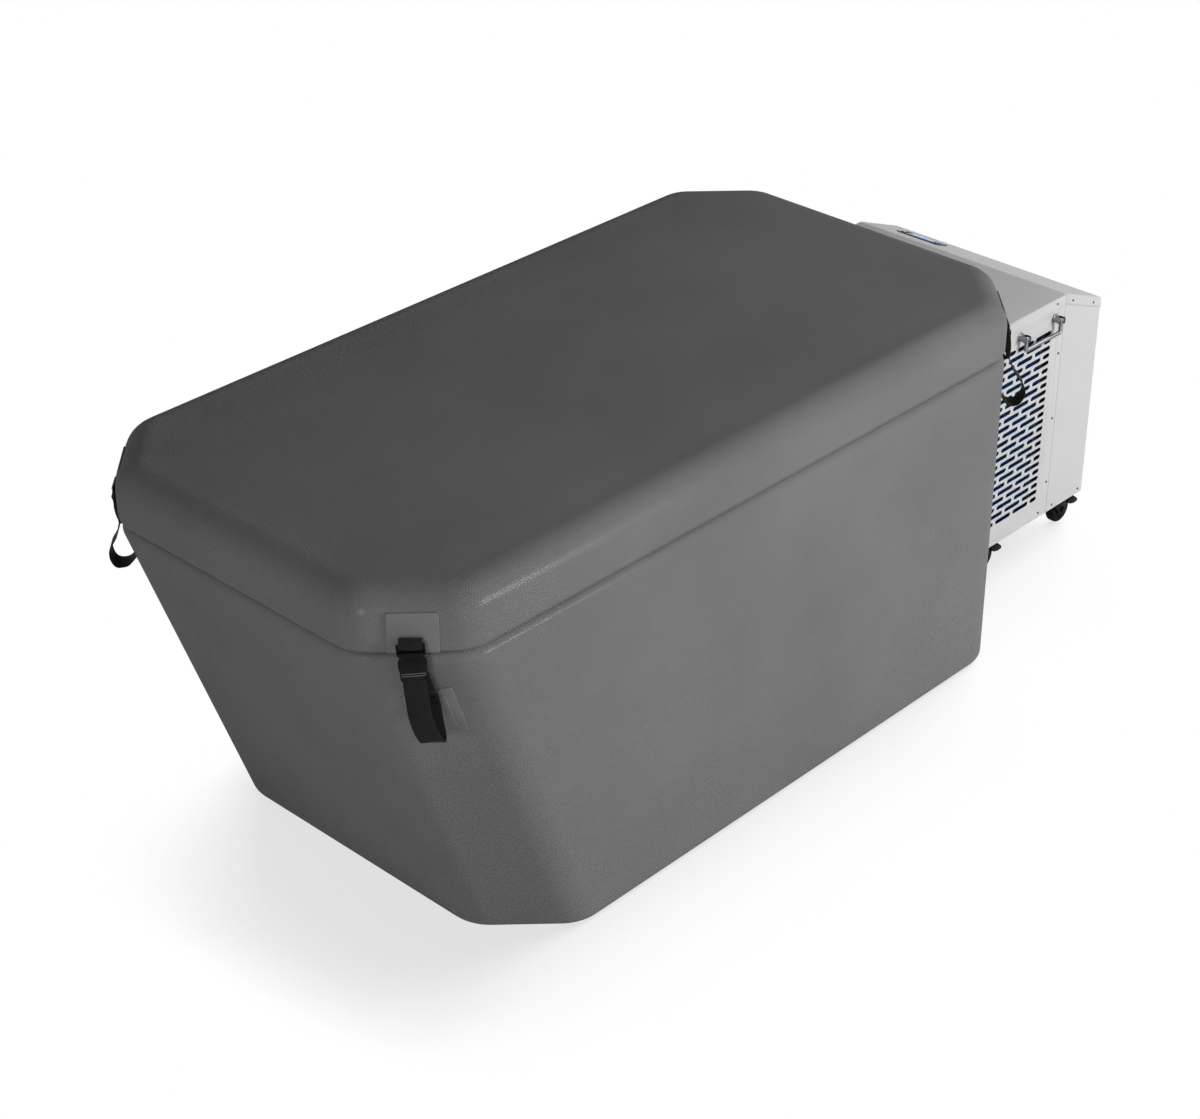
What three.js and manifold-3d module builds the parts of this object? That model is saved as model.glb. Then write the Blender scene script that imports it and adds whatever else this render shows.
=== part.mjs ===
// Cold plunge tub: an inflatable tub with a strapped-down lid, and its water chiller on casters.
// Millimetres. +X runs along the tub towards the chiller, +Z is up and the floor is z = 0.
// The tub is laid out round the middle of its lid, and the whole is centred at the end.
import * as THREE from 'three';
import { mergeVertices } from 'three/addons/utils/BufferGeometryUtils.js';
import Module from 'manifold-3d';

// Lid and tub, both air-filled with drop-stitch walls
const LID_LENGTH = 1700;
const LID_WIDTH = 876;
const LID_THICKNESS = 110;
const LID_TOP_ROUND = 55;
const LID_FOOT_ROUND = 14;
const RIM_HEIGHT = 690;
const RIM_ROUND = 22;
const CORNER_CUT = 140; // leg of each cut-off corner
const CORNER_SOFTNESS = 90; // radius between two neighbouring walls
const BACKREST_INSET = 241; // how far the head end's foot stands in from its rim
const WALL_THICKNESS = 100;
const FLOOR_THICKNESS = 100;
const TUB_FOOT_ROUND = 20;
const CLEARANCE = 0.3; // between pieces that rest on each other or slide

// Corner fastenings, for 38 mm webbing
const WEBBING_WIDTH = 38;
const WEBBING_THICKNESS = 2;
const PATCH_WIDTH = 84;
const PATCH_THICKNESS = 2.5;
const LID_PATCH_HEIGHT = 73;
const LID_PATCH_DROP = 8; // from the patch's foot down to the rim
const TUB_PATCH_HEIGHT = 105;
const TUB_PATCH_TOP = 78; // from the rim down to the patch
const INNER_PATCH_MARGIN = 15;
const BUCKLE_WIDTH = 46;
const BUCKLE_DEPTH = 13;
const FEMALE_LENGTH = 39;
const FEMALE_TOP = 17; // above the rim
const BUCKLE_WALL = 2.4;
const BUCKLE_BAR = 4.4;
const LOOP_HEIGHT = 20;
const MALE_LENGTH = 18;
const PRONG_LENGTH = 33;
const PRONG_WIDTH = 7;
const STRAP_DROP = 114; // from the male half to the lowest point of the strap
const STRAP_REACH = 36; // how far the strap swings out from the tub at its sloping end
const FOOT_STRAP_REACH = 54; // the same at the upright end

// Fittings in the tub wall and lid
const VALVE_RADIUS = 19;
const VALVE_BARREL = 14;
const VALVE_BORE = 9;
const VALVE_DEPTH = 26;
const VALVE_FLANGE = 3;
const VALVE_CAP_HEIGHT = 7;
const VALVE_SIDE = 250;
const TUB_VALVE_DROP = 70;
const FITTING_BARREL = 16;
const FITTING_FLANGE_RADIUS = 26;
const FITTING_FLANGE = 4;
const FITTING_NOSE_RADIUS = 12;
const FITTING_NOSE = 16;
const FITTING_SIDE = -120;
const SUCTION_HEIGHT = 180;
const RETURN_HEIGHT = 540;
const DRAIN_SIDE = 200;
const DRAIN_HEIGHT = 140;
const DRAIN_CAP_HEIGHT = 12;

// Chiller cabinet, folded from sheet metal
const CHILLER_GAP = 40;
const CABINET_LENGTH = 400;
const CABINET_WIDTH = 544;
const CABINET_BOTTOM = 98;
const CABINET_TOP = 621;
const RIDGE_SETBACK = 136; // from the ridge back to the rear wall
const FACET_DROP = 54;
const SHEET = 2;
const SKIRT_DEPTH = 23;
const PAN_LIP = 24;

// Oblong slots of the side grilles
const SLOT_LENGTH = 54;
const SLOT_HEIGHT = 10;
const SLOT_PITCH = 62.2;
const SLOT_ROW_PITCH = 17.2;
const SLOT_ROWS = 24;
const GRILLE_FOOT = 54.7; // cabinet bottom to the middle of the lowest row
const GRILLE_MARGIN = 43; // from the last slot to the panel's rear edge
const GRILLE_FRONT_MARGIN = 40; // least width left blank beside the tub

// Controls on the sloping facet
const PANEL_LENGTH = 110;
const PANEL_WIDTH = 46;
const PANEL_PROUD = 2;
const PANEL_DEPTH = 10;
const PANEL_SIDE = 154;
const PANEL_RIM = 2.5;
const BUTTON_SIZE = 12;
const BUTTON_HEIGHT = 8;
const BUTTON_PROUD = 1.2;
const BUTTON_INSET = 13; // from the panel's end to the middle of a button
const BUTTON_SPACING = 20;

// Drop handles
const HANDLE_SPAN = 121;
const HANDLE_SETBACK = 96; // from the ridge forward to the handle's middle
const HANDLE_DROP = 43; // cabinet top to the pivots
const POST_RADIUS = 9;
const POST_REACH = 22;
const PIN_RADIUS = 2;
const PIN_INSET = 6;
const BAIL_RADIUS = 4.5;
const BAIL_DROP = 22;
const HANDLE_STRIP = 3;

// Casters
const CASTER_SETBACK = 28; // rear wall to the rear swivels
const CASTER_SPACING = 286;
const CASTER_TRACK = 428;
const WHEEL_RADIUS = 31.5;
const WHEEL_WIDTH = 22;
const WHEEL_TRAIL = 27;
const AXLE_RADIUS = 4;
const FORK_PLATE = 3;
const FORK_GAP = 1.5;
const CASTER_PLATE = 3;
const PEDAL_REACH = 82;
const PEDAL_TIP_HEIGHT = 33;
const PEDAL_WING = 4; // wall beside the wheel
const PEDAL_WIDTH = 34;
const KINGPIN_RADIUS = 6;

// Cooling parts inside the cabinet
const COIL_LENGTH = 176;
const COIL_SHIFT = 20; // towards the tub from the middle of the slots
const COIL_HEIGHT = 450;
const COIL_DEPTH = 28;
const COIL_GAP = 4;
const FAN_RADIUS = 82;
const FAN_HUB = 24;
const FAN_DEPTH = 18;
const FAN_BLADES = 7;
const FAN_HEIGHT = 330;
const FAN_TIP_GAP = 6;
const MOTOR_RADIUS = 30;
const MOTOR_LENGTH = 44;
const SHAFT_RADIUS = 4;
const COMPRESSOR_RADIUS = 62;
const COMPRESSOR_HEIGHT = 210;
const COMPRESSOR_SETBACK = 95;
const COMPRESSOR_SIDE = 115;
const PUMP_RADIUS = 36;
const PUMP_LENGTH = 130;
const PUMP_HEIGHT = 52;
const PUMP_SIDE = 10;
const PUMP_GAP = 20; // from the cabinet's front to the pump
const PORT_SIDE = 120;
const PORT_HEIGHT = 250;
const PORT_SPACING = 60;
const INLET_SIDE = -180;
const INLET_HEIGHT = 170;

const wasm = await Module();
wasm.setup();

// Closed mesh to solid and back, so that pieces can be joined and cut
function solid(geometry) {
  const bare = geometry.clone();
  bare.deleteAttribute('normal');
  bare.deleteAttribute('uv');
  const merged = mergeVertices(bare, 1e-4);
  return new wasm.Manifold(new wasm.Mesh({
    numProp: 3,
    vertProperties: new Float32Array(merged.attributes.position.array),
    triVerts: new Uint32Array(merged.index.array),
  }));
}

function geometryOf(body) {
  const mesh = body.getMesh();
  const geometry = new THREE.BufferGeometry();
  const corners = new Float32Array(mesh.triVerts.length * 3);
  mesh.triVerts.forEach((vertex, i) => {
    for (let k = 0; k < 3; k += 1) corners[3 * i + k] = mesh.vertProperties[vertex * mesh.numProp + k];
  });
  geometry.setAttribute('position', new THREE.BufferAttribute(corners, 3));
  geometry.computeVertexNormals();
  return geometry;
}

function join(...parts) {
  return geometryOf(parts.map(solid).reduce((all, next) => all.add(next)));
}

function common(a, b) {
  return geometryOf(solid(a).intersect(solid(b)));
}

function cut(base, ...tools) {
  return geometryOf(tools.map(solid).reduce((left, tool) => left.subtract(tool), solid(base)));
}

// Box between two corners
function block(x0, x1, y0, y1, z0, z1) {
  const shape = new THREE.BoxGeometry(x1 - x0, y1 - y0, z1 - z0);
  return shape.translate((x0 + x1) / 2, (y0 + y1) / 2, (z0 + z1) / 2);
}

// Round bar from one point to another along an axis: 'x', 'y' or 'z'
function bar(axis, radius, from, to, centre, sides = 16) {
  const shape = new THREE.CylinderGeometry(radius, radius, to - from, sides);
  if (axis === 'x') shape.rotateZ(-Math.PI / 2);
  if (axis === 'z') shape.rotateX(Math.PI / 2);
  const place = new THREE.Vector3(...centre);
  place[axis] = (from + to) / 2;
  return shape.translate(place.x, place.y, place.z);
}

// Turned piece whose axis is +X: points are [distance along the axis, radius]
function turned(points, sides = 20) {
  const profile = points.map(([along, radius]) => new THREE.Vector2(radius, along));
  return new THREE.LatheGeometry(profile, sides).rotateZ(-Math.PI / 2);
}

// Flat outline in the XZ plane, given a thickness along Y
function plate(points, y0, y1, holes = []) {
  const shape = new THREE.Shape(points.map(([x, z]) => new THREE.Vector2(x, z)));
  shape.holes = holes.map((hole) => new THREE.Path(hole.map(([x, z]) => new THREE.Vector2(x, z))));
  const body = new THREE.ExtrudeGeometry(shape, { depth: y1 - y0, bevelEnabled: false });
  return body.rotateX(Math.PI / 2).translate(0, y1, 0);
}

const finishes = {
  skin: { color: 0x4f5050, roughness: 0.62, metalness: 0 },
  webbing: { color: 0x18191a, roughness: 0.85, metalness: 0 },
  buckle: { color: 0x141516, roughness: 0.4, metalness: 0 },
  fitting: { color: 0x2a2c2e, roughness: 0.5, metalness: 0 },
  cabinet: { color: 0xdcdddd, roughness: 0.45, metalness: 0.1 },
  zinc: { color: 0xa9adb0, roughness: 0.4, metalness: 0.8 },
  chrome: { color: 0xc9ccd0, roughness: 0.12, metalness: 1 },
  display: { color: 0x0a0d14, roughness: 0.15, metalness: 0 },
  button: { color: 0x2f343c, roughness: 0.45, metalness: 0 },
  caster: { color: 0x121212, roughness: 0.5, metalness: 0 },
  fins: { color: 0x12356e, roughness: 0.4, metalness: 0.5 },
  motor: { color: 0x1d1f22, roughness: 0.5, metalness: 0.3 },
};

const assembly = new THREE.Group();

function piece(name, geometry, finish, parent = assembly) {
  const mesh = new THREE.Mesh(geometry, new THREE.MeshStandardMaterial(finishes[finish]));
  mesh.name = name;
  parent.add(mesh);
  return mesh;
}

function place(parent, x, y, z) {
  const group = new THREE.Group();
  group.position.set(x, y, z);
  parent.add(group);
  return group;
}

// Places worked out from the sizes above
const tubEnd = LID_LENGTH / 2;
const halfWidth = LID_WIDTH / 2;
const lean = BACKREST_INSET / RIM_HEIGHT; // run of the backrest for each unit of height
const lidBottom = RIM_HEIGHT + CLEARANCE;
const cabinetFront = tubEnd + CHILLER_GAP;
const cabinetRear = cabinetFront + CABINET_LENGTH;
const cabinetSide = CABINET_WIDTH / 2;
const ridge = cabinetRear - RIDGE_SETBACK;
const facetTilt = Math.atan2(FACET_DROP, RIDGE_SETBACK);
const panFloor = CABINET_BOTTOM + SHEET;
const rearReach = cabinetRear - CASTER_SETBACK + PEDAL_REACH;
const lastSlotEnd = ridge - CLEARANCE - GRILLE_MARGIN;
const slotsPerRow = Math.floor((lastSlotEnd - cabinetFront - GRILLE_FRONT_MARGIN + SLOT_PITCH - SLOT_LENGTH)
  / SLOT_PITCH);
const firstSlotStart = lastSlotEnd - (slotsPerRow - 1) * SLOT_PITCH - SLOT_LENGTH;

// Lofted body through rings of equal point counts; a closed loft joins its last ring to its first
function loft(rings, closed) {
  const count = rings[0].length;
  const points = rings.flat();
  const faces = [];
  const bands = closed ? rings.length : rings.length - 1;
  for (let r = 0; r < bands; r += 1) {
    const low = r * count;
    const high = ((r + 1) % rings.length) * count;
    for (let i = 0; i < count; i += 1) {
      const j = (i + 1) % count;
      faces.push(low + i, low + j, high + j, low + i, high + j, high + i);
    }
  }
  if (!closed) {
    const last = (rings.length - 1) * count;
    for (let i = 1; i < count - 1; i += 1) {
      faces.push(0, i + 1, i);
      faces.push(last, last + i, last + i + 1);
    }
  }
  const geometry = new THREE.BufferGeometry();
  geometry.setAttribute('position', new THREE.Float32BufferAttribute(points.flat(), 3));
  geometry.setIndex(faces);
  geometry.computeVertexNormals();
  return geometry;
}

// Ring of an eight-sided plan with softened corners, inset from the lid's outline.
// Each wall is a direction and a distance from the middle, and headShift moves the head end in.
function planRing(inset, z, headShift) {
  const headEnd = tubEnd - headShift;
  const reach = [tubEnd, 0, halfWidth, 0, headEnd, 0, halfWidth, 0];
  for (let k = 1; k < 8; k += 2) reach[k] = (reach[k - 1] + reach[(k + 1) % 8] - CORNER_CUT) / Math.SQRT2;
  const radius = Math.max(CORNER_SOFTNESS - inset, CORNER_SOFTNESS / 4);
  const ring = [];
  for (let k = 0; k < 8; k += 1) {
    const angle = (k * Math.PI) / 4;
    const next = angle + Math.PI / 4;
    const a = reach[k] - inset - radius;
    const b = reach[(k + 1) % 8] - inset - radius;
    const det = Math.sin(next - angle);
    const cx = (a * Math.sin(next) - b * Math.sin(angle)) / det;
    const cy = (b * Math.cos(angle) - a * Math.cos(next)) / det;
    for (const turn of [angle, (angle + next) / 2, next]) {
      ring.push([cx + radius * Math.cos(turn), cy + radius * Math.sin(turn), z]);
    }
  }
  return ring;
}

// Steps of a rounded edge as [inset, distance from the edge], from the flat face to the side
function edgeSteps(radius, steps) {
  return Array.from({ length: steps + 1 }, (_, i) => {
    const turn = (i / steps) * (Math.PI / 2);
    return [radius * (1 - Math.sin(turn)), radius * (1 - Math.cos(turn))];
  });
}

const headShiftAt = (z) => lean * (RIM_HEIGHT - z);
const wallRing = ([inset, z]) => planRing(inset, z, headShiftAt(z));

// Corners by name: which end and side they are on
const corners = [
  ['head_right', -1, -1], ['head_left', -1, 1], ['foot_right', 1, -1], ['foot_left', 1, 1]];

// Frame of a corner at the rim: X along the cut-off corner, Y outwards, Z up
function cornerFrame(end, side) {
  const frame = new THREE.Matrix4().makeRotationZ(Math.atan2(side, end) - Math.PI / 2);
  frame.setPosition(end * (tubEnd - CORNER_CUT / 2), side * (halfWidth - CORNER_CUT / 2), RIM_HEIGHT);
  return frame;
}

// How the wall below a corner leans: sideways by slip and back by recede for each unit of height
function cornerLean(end, side) {
  const run = end < 0 ? lean / Math.SQRT2 : 0;
  return { slip: side * run, recede: -run };
}

// Two-layer patch on the wall below a corner, with the strap's foot welded between its layers
function tubPatch(end, side) {
  const { slip, recede } = cornerLean(end, side);
  const up = new THREE.Vector3(-slip, -recede, 1).normalize();
  const out = new THREE.Vector3(0, 1, recede).normalize();
  const basis = new THREE.Matrix4().makeBasis(new THREE.Vector3().crossVectors(out, up), out, up);
  const middle = -TUB_PATCH_TOP - TUB_PATCH_HEIGHT / 2;
  basis.setPosition(-slip * middle, -recede * middle, middle);
  const layer = (margin, thickness) => block(-PATCH_WIDTH / 2 + margin, PATCH_WIDTH / 2 - margin,
    -WALL_THICKNESS / 4, thickness, -TUB_PATCH_HEIGHT / 2 + margin, TUB_PATCH_HEIGHT / 2 - margin);
  const patch = join(layer(0, PATCH_THICKNESS / 2), layer(INNER_PATCH_MARGIN, PATCH_THICKNESS));
  return patch.applyMatrix4(basis).applyMatrix4(cornerFrame(end, side));
}

// Tub wall: a ring of drop-stitch wall, upright but for the sloping backrest at the head
function tubWall() {
  const foot = edgeSteps(TUB_FOOT_ROUND, 2).map(([inset, z]) => [inset, z]);
  const rim = edgeSteps(RIM_ROUND, 3);
  const outerRim = rim.map(([inset, down]) => [inset, RIM_HEIGHT - down]).reverse();
  const innerRim = rim.map(([inset, down]) => [WALL_THICKNESS - inset, RIM_HEIGHT - down]);
  const profile = [...foot, ...outerRim, ...innerRim, [WALL_THICKNESS, 0]];
  const wall = loft(profile.map(wallRing), true);
  const end = tubEnd - WALL_THICKNESS - FITTING_FLANGE;
  const through = (y, z) => bar('x', FITTING_BARREL + CLEARANCE, end, tubEnd + 1, [0, y, z], 20);
  const pocket = bar('x', VALVE_BARREL + CLEARANCE, tubEnd - VALVE_DEPTH - CLEARANCE, tubEnd + 1,
    [0, VALVE_SIDE, RIM_HEIGHT - TUB_VALVE_DROP], 20);
  const patches = corners.map(([, cornerEnd, side]) => tubPatch(cornerEnd, side));
  return cut(join(wall, ...patches), pocket, through(FITTING_SIDE, SUCTION_HEIGHT),
    through(FITTING_SIDE, RETURN_HEIGHT), through(DRAIN_SIDE, DRAIN_HEIGHT));
}

// Floor pad, welded in between the feet of the walls
function tubFloor() {
  const inset = WALL_THICKNESS + CLEARANCE;
  return loft([wallRing([inset, 0]), wallRing([inset, FLOOR_THICKNESS])], false);
}

const lidTop = lidBottom + LID_THICKNESS;
const lidValveHeight = lidBottom + LID_FOOT_ROUND + (LID_THICKNESS - LID_FOOT_ROUND - LID_TOP_ROUND) / 2;

// The lid's shape, or the same shape grown outwards by a patch's thickness
function lidShape(growth) {
  const foot = edgeSteps(LID_FOOT_ROUND + growth, 2)
    .map(([inset, up]) => [inset - growth, lidBottom - growth + up]);
  const top = edgeSteps(LID_TOP_ROUND + growth, 4)
    .map(([inset, down]) => [inset - growth, lidTop + growth - down]);
  return loft([...foot, ...top.reverse()].map(([inset, z]) => planRing(inset, z, 0)), false);
}

function lidPad() {
  const foot = CLEARANCE + LID_PATCH_DROP;
  const patchBlock = block(-PATCH_WIDTH / 2, PATCH_WIDTH / 2, -LID_TOP_ROUND, 2 * PATCH_THICKNESS,
    foot, foot + LID_PATCH_HEIGHT);
  const grown = lidShape(PATCH_THICKNESS);
  const patches = corners.map(([, end, side]) => {
    const here = patchBlock.clone().applyMatrix4(cornerFrame(end, side));
    return common(here, grown);
  });
  const pocket = bar('x', VALVE_BARREL + CLEARANCE, tubEnd - VALVE_DEPTH - CLEARANCE, tubEnd + 1,
    [0, VALVE_SIDE, lidValveHeight], 20);
  return cut(join(lidShape(0), ...patches), pocket);
}

piece('tub_wall', tubWall(), 'skin');
piece('tub_floor', tubFloor(), 'skin');
piece('lid', lidPad(), 'skin');

// Flat ribbon with its width along X, following points [outward, up] in the YZ plane
function ribbon(points, width, thickness) {
  const side = (sign) => points.map(([y, z], i) => {
    const [y0, z0] = points[Math.max(i - 1, 0)];
    const [y1, z1] = points[Math.min(i + 1, points.length - 1)];
    const length = Math.hypot(y1 - y0, z1 - z0);
    const shift = (sign * thickness) / 2 / length;
    return new THREE.Vector2(y - (z1 - z0) * shift, z + (y1 - y0) * shift);
  });
  const outline = new THREE.Shape([...side(1), ...side(-1).reverse()]);
  const body = new THREE.ExtrudeGeometry(outline, { depth: width, bevelEnabled: false });
  body.rotateX(Math.PI / 2).rotateZ(Math.PI / 2);
  return body.translate(-width / 2, 0, 0);
}

// Corner heights, measured from the rim, and how far out the buckle hangs
const buckleOut = PATCH_THICKNESS + CLEARANCE + WEBBING_THICKNESS + BUCKLE_DEPTH / 2;
const femaleFoot = FEMALE_TOP - FEMALE_LENGTH;
const barHeight = FEMALE_TOP + CLEARANCE + WEBBING_THICKNESS + CLEARANCE + BUCKLE_BAR / 2;
const maleFoot = femaleFoot - CLEARANCE - MALE_LENGTH;
const loopOuter = buckleOut + BUCKLE_BAR / 2 + CLEARANCE + WEBBING_THICKNESS / 2;
const loopInner = PATCH_THICKNESS + CLEARANCE + WEBBING_THICKNESS / 2;

// Webbing loop sewn to the lid's patch, which holds the socket half's bar
function lidLoop() {
  const low = FEMALE_TOP + CLEARANCE + WEBBING_THICKNESS / 2;
  const high = low + LOOP_HEIGHT;
  const corner = 2;
  return ribbon([
    [loopInner + corner + 1, high - WEBBING_THICKNESS - CLEARANCE], [loopInner, high - 3 * corner],
    [loopInner, low + corner], [loopInner + corner, low], [loopOuter - corner, low],
    [loopOuter, low + corner], [loopOuter, high - 2 * corner], [loopOuter - corner, high - corner],
    [loopInner + 2 * corner, high], [loopInner, high + 1], [loopInner, high + corner + 3]],
  WEBBING_WIDTH, WEBBING_THICKNESS);
}

// Socket half of the side-release buckle: open at its foot, with a bar above for the webbing
function buckleFemale() {
  const half = BUCKLE_WIDTH / 2;
  const depth = BUCKLE_DEPTH / 2;
  const body = block(-half, half, buckleOut - depth, buckleOut + depth, femaleFoot, FEMALE_TOP);
  const socketWidth = half - BUCKLE_WALL;
  const socket = block(-socketWidth, socketWidth, buckleOut - depth + BUCKLE_WALL,
    buckleOut + depth - BUCKLE_WALL, femaleFoot - 1, FEMALE_TOP - BUCKLE_WALL);
  const windowTop = FEMALE_TOP - FEMALE_LENGTH / 4;
  const window = block(-half - 1, half + 1, buckleOut - depth + BUCKLE_WALL,
    buckleOut + depth - BUCKLE_WALL, windowTop - FEMALE_LENGTH / 2, windowTop);
  const lugs = [-1, 1].map((side) => {
    const inner = side * (WEBBING_WIDTH / 2 + CLEARANCE);
    const outer = side * half;
    return block(Math.min(inner, outer), Math.max(inner, outer), buckleOut - BUCKLE_BAR / 2,
      buckleOut + BUCKLE_BAR / 2, FEMALE_TOP - 1, barHeight + BUCKLE_BAR / 2);
  });
  const crossBar = bar('x', BUCKLE_BAR / 2, -half, half, [0, buckleOut, barHeight], 10);
  return join(cut(body, socket, window), ...lugs, crossBar);
}

// Plug half: a ladder that holds the strap, a middle tongue and two springy side prongs
function buckleMale() {
  const half = BUCKLE_WIDTH / 2;
  const depth = BUCKLE_DEPTH / 2;
  const top = femaleFoot - CLEARANCE;
  const base = block(-half, half, buckleOut - depth, buckleOut + depth, maleFoot, top);
  const slotLow = maleFoot + MALE_LENGTH / 4;
  const slotMiddle = maleFoot + MALE_LENGTH / 2;
  const slots = [slotLow, slotMiddle + 1].map((z) => block(-WEBBING_WIDTH / 2 - CLEARANCE,
    WEBBING_WIDTH / 2 + CLEARANCE, buckleOut - depth - 1, buckleOut + depth + 1, z, z + MALE_LENGTH / 5));
  const prongDepth = depth - BUCKLE_WALL - CLEARANCE;
  const reach = half - BUCKLE_WALL - CLEARANCE;
  const prong = (x0, x1, length) => block(x0, x1, buckleOut - prongDepth, buckleOut + prongDepth,
    top - 1, top + length);
  const tongue = prong(-PRONG_WIDTH / 2, PRONG_WIDTH / 2, PRONG_LENGTH);
  const arms = [prong(-reach, -reach + PRONG_WIDTH * 0.6, PRONG_LENGTH * 0.85),
    prong(reach - PRONG_WIDTH * 0.6, reach, PRONG_LENGTH * 0.85)];
  return join(cut(base, ...slots), tongue, ...arms);
}

// Strap from the plug half: it hangs in a loop, comes back up the tub wall over its patch, and ends behind
// the plug half
function tubStrap(end, side) {
  const { slip, recede } = cornerLean(end, side);
  const wallAt = (z) => recede * -z + PATCH_THICKNESS + CLEARANCE + WEBBING_THICKNESS / 2;
  const beside = BUCKLE_DEPTH / 2 + 3 * CLEARANCE + WEBBING_THICKNESS / 2;
  const front = buckleOut + beside;
  const behind = buckleOut - beside;
  const low = maleFoot - STRAP_DROP;
  const reach = end < 0 ? STRAP_REACH : FOOT_STRAP_REACH;
  const tail = -TUB_PATCH_TOP - TUB_PATCH_HEIGHT / 4;
  const curve = new THREE.CatmullRomCurve3([
    [front, maleFoot + MALE_LENGTH * 0.6], [front, maleFoot], [reach * 0.74, low + STRAP_DROP * 0.64],
    [reach, low + STRAP_DROP * 0.28], [reach * 0.9, low + STRAP_DROP * 0.1],
    [reach * 0.6 + wallAt(low) * 0.05, low], [reach * 0.35 + wallAt(low) * 0.27, low + 7],
    [reach * 0.12 + wallAt(low) * 0.42, low + 22], [wallAt(tail - 4) + 2, tail - 4],
    [wallAt(tail + 8), tail + 8], [wallAt(tail + 20), tail + 20],
    [behind * 0.5 + wallAt(tail + 36) * 0.5, tail + 36], [behind, maleFoot + 4]]
    .map(([y, z]) => new THREE.Vector3(0, y, z)), false, 'centripetal');
  const webbing = ribbon(curve.getSpacedPoints(26).map((p) => [p.y, p.z]), WEBBING_WIDTH,
    WEBBING_THICKNESS);
  // the strap leans with the wall's corner as it goes down
  const sway = 1.2 * slip;
  const shear = new THREE.Matrix4().set(1, 0, -sway, sway * maleFoot, 0, 1, 0, 0, 0, 0, 1, 0, 0, 0, 0, 1);
  return webbing.applyMatrix4(shear);
}

for (const [name, end, side] of corners) {
  const corner = new THREE.Group();
  corner.applyMatrix4(cornerFrame(end, side));
  assembly.add(corner);
  piece(`lid_loop_${name}`, lidLoop(), 'webbing', corner);
  piece(`buckle_female_${name}`, buckleFemale(), 'buckle', corner);
  piece(`buckle_male_${name}`, buckleMale(), 'buckle', corner);
  piece(`strap_${name}`, tubStrap(end, side), 'webbing', corner);
}

// Air valve, set in its pocket with its flange on the skin, and its quarter-turn cap
function airValve() {
  const foot = -VALVE_DEPTH;
  return turned([[foot, 0], [foot, VALVE_BARREL], [CLEARANCE, VALVE_BARREL], [CLEARANCE, VALVE_RADIUS],
    [VALVE_FLANGE, VALVE_RADIUS], [VALVE_FLANGE, VALVE_BORE], [foot + SHEET, VALVE_BORE],
    [foot + SHEET, 0]]);
}

function valveCap() {
  const face = VALVE_FLANGE + CLEARANCE;
  const cover = turned([[face - VALVE_CAP_HEIGHT, 0], [face - VALVE_CAP_HEIGHT, VALVE_BORE - CLEARANCE - 0.5],
    [face, VALVE_BORE - CLEARANCE - 0.5], [face, VALVE_RADIUS - 3], [face + 2, VALVE_RADIUS - 3],
    [face + 2, 0]]);
  const grip = block(face + 1, face + VALVE_CAP_HEIGHT, -2, 2, -VALVE_RADIUS + 6, VALVE_RADIUS - 6);
  return join(cover, grip);
}

const tubValve = place(assembly, tubEnd, VALVE_SIDE, RIM_HEIGHT - TUB_VALVE_DROP);
piece('tub_air_valve', airValve(), 'fitting', tubValve);
piece('tub_valve_cap', valveCap(), 'fitting', tubValve);
const lidValve = place(assembly, tubEnd, VALVE_SIDE, lidValveHeight);
piece('lid_air_valve', airValve(), 'fitting', lidValve);
piece('lid_valve_cap', valveCap(), 'fitting', lidValve);

// Water fitting through the wall: inner flange, barrel, outer nut and a nose
function wallFitting(noseLength) {
  const inside = -WALL_THICKNESS - CLEARANCE;
  return turned([[inside - FITTING_FLANGE, 0], [inside - FITTING_FLANGE, FITTING_FLANGE_RADIUS],
    [inside, FITTING_FLANGE_RADIUS], [inside, FITTING_BARREL], [CLEARANCE, FITTING_BARREL],
    [CLEARANCE, FITTING_FLANGE_RADIUS], [CLEARANCE + FITTING_FLANGE, FITTING_FLANGE_RADIUS],
    [CLEARANCE + FITTING_FLANGE, FITTING_NOSE_RADIUS],
    [CLEARANCE + FITTING_FLANGE + noseLength, FITTING_NOSE_RADIUS],
    [CLEARANCE + FITTING_FLANGE + noseLength, 0]]);
}

for (const [name, height] of [['suction_fitting', SUCTION_HEIGHT], ['return_fitting', RETURN_HEIGHT]]) {
  piece(name, wallFitting(FITTING_NOSE), 'fitting', place(assembly, tubEnd, FITTING_SIDE, height));
}

// Drain spout with its screw cap
function drainCap() {
  const bottom = CLEARANCE * 2 + FITTING_FLANGE;
  const top = bottom + DRAIN_CAP_HEIGHT;
  const inner = FITTING_NOSE_RADIUS + CLEARANCE;
  const shell = turned([[top - 3, 0], [top - 3, inner], [bottom, inner], [bottom, inner + 4],
    [top, inner + 4], [top, 0]]);
  const rib = block(bottom + 1, top - 1, -1.5, 1.5, inner + 3, inner + 5.5);
  const ribs = Array.from({ length: 6 }, (_, i) => rib.clone().rotateX((i * Math.PI) / 3));
  return join(shell, ...ribs);
}

const drain = place(assembly, tubEnd, DRAIN_SIDE, DRAIN_HEIGHT);
piece('drain_fitting', wallFitting(DRAIN_CAP_HEIGHT - 3 - CLEARANCE * 2), 'fitting', drain);
piece('drain_cap', drainCap(), 'fitting', drain);

// Chiller cabinet
const chiller = place(assembly, 0, 0, 0);
const inside = cabinetSide - SHEET - CLEARANCE;
const casterSwivels = [];
for (const [end, x] of [['rear', cabinetRear - CASTER_SETBACK],
  ['front', cabinetRear - CASTER_SETBACK - CASTER_SPACING]]) {
  casterSwivels.push([`${end}_right`, x, -CASTER_TRACK / 2], [`${end}_left`, x, CASTER_TRACK / 2]);
}

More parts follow.
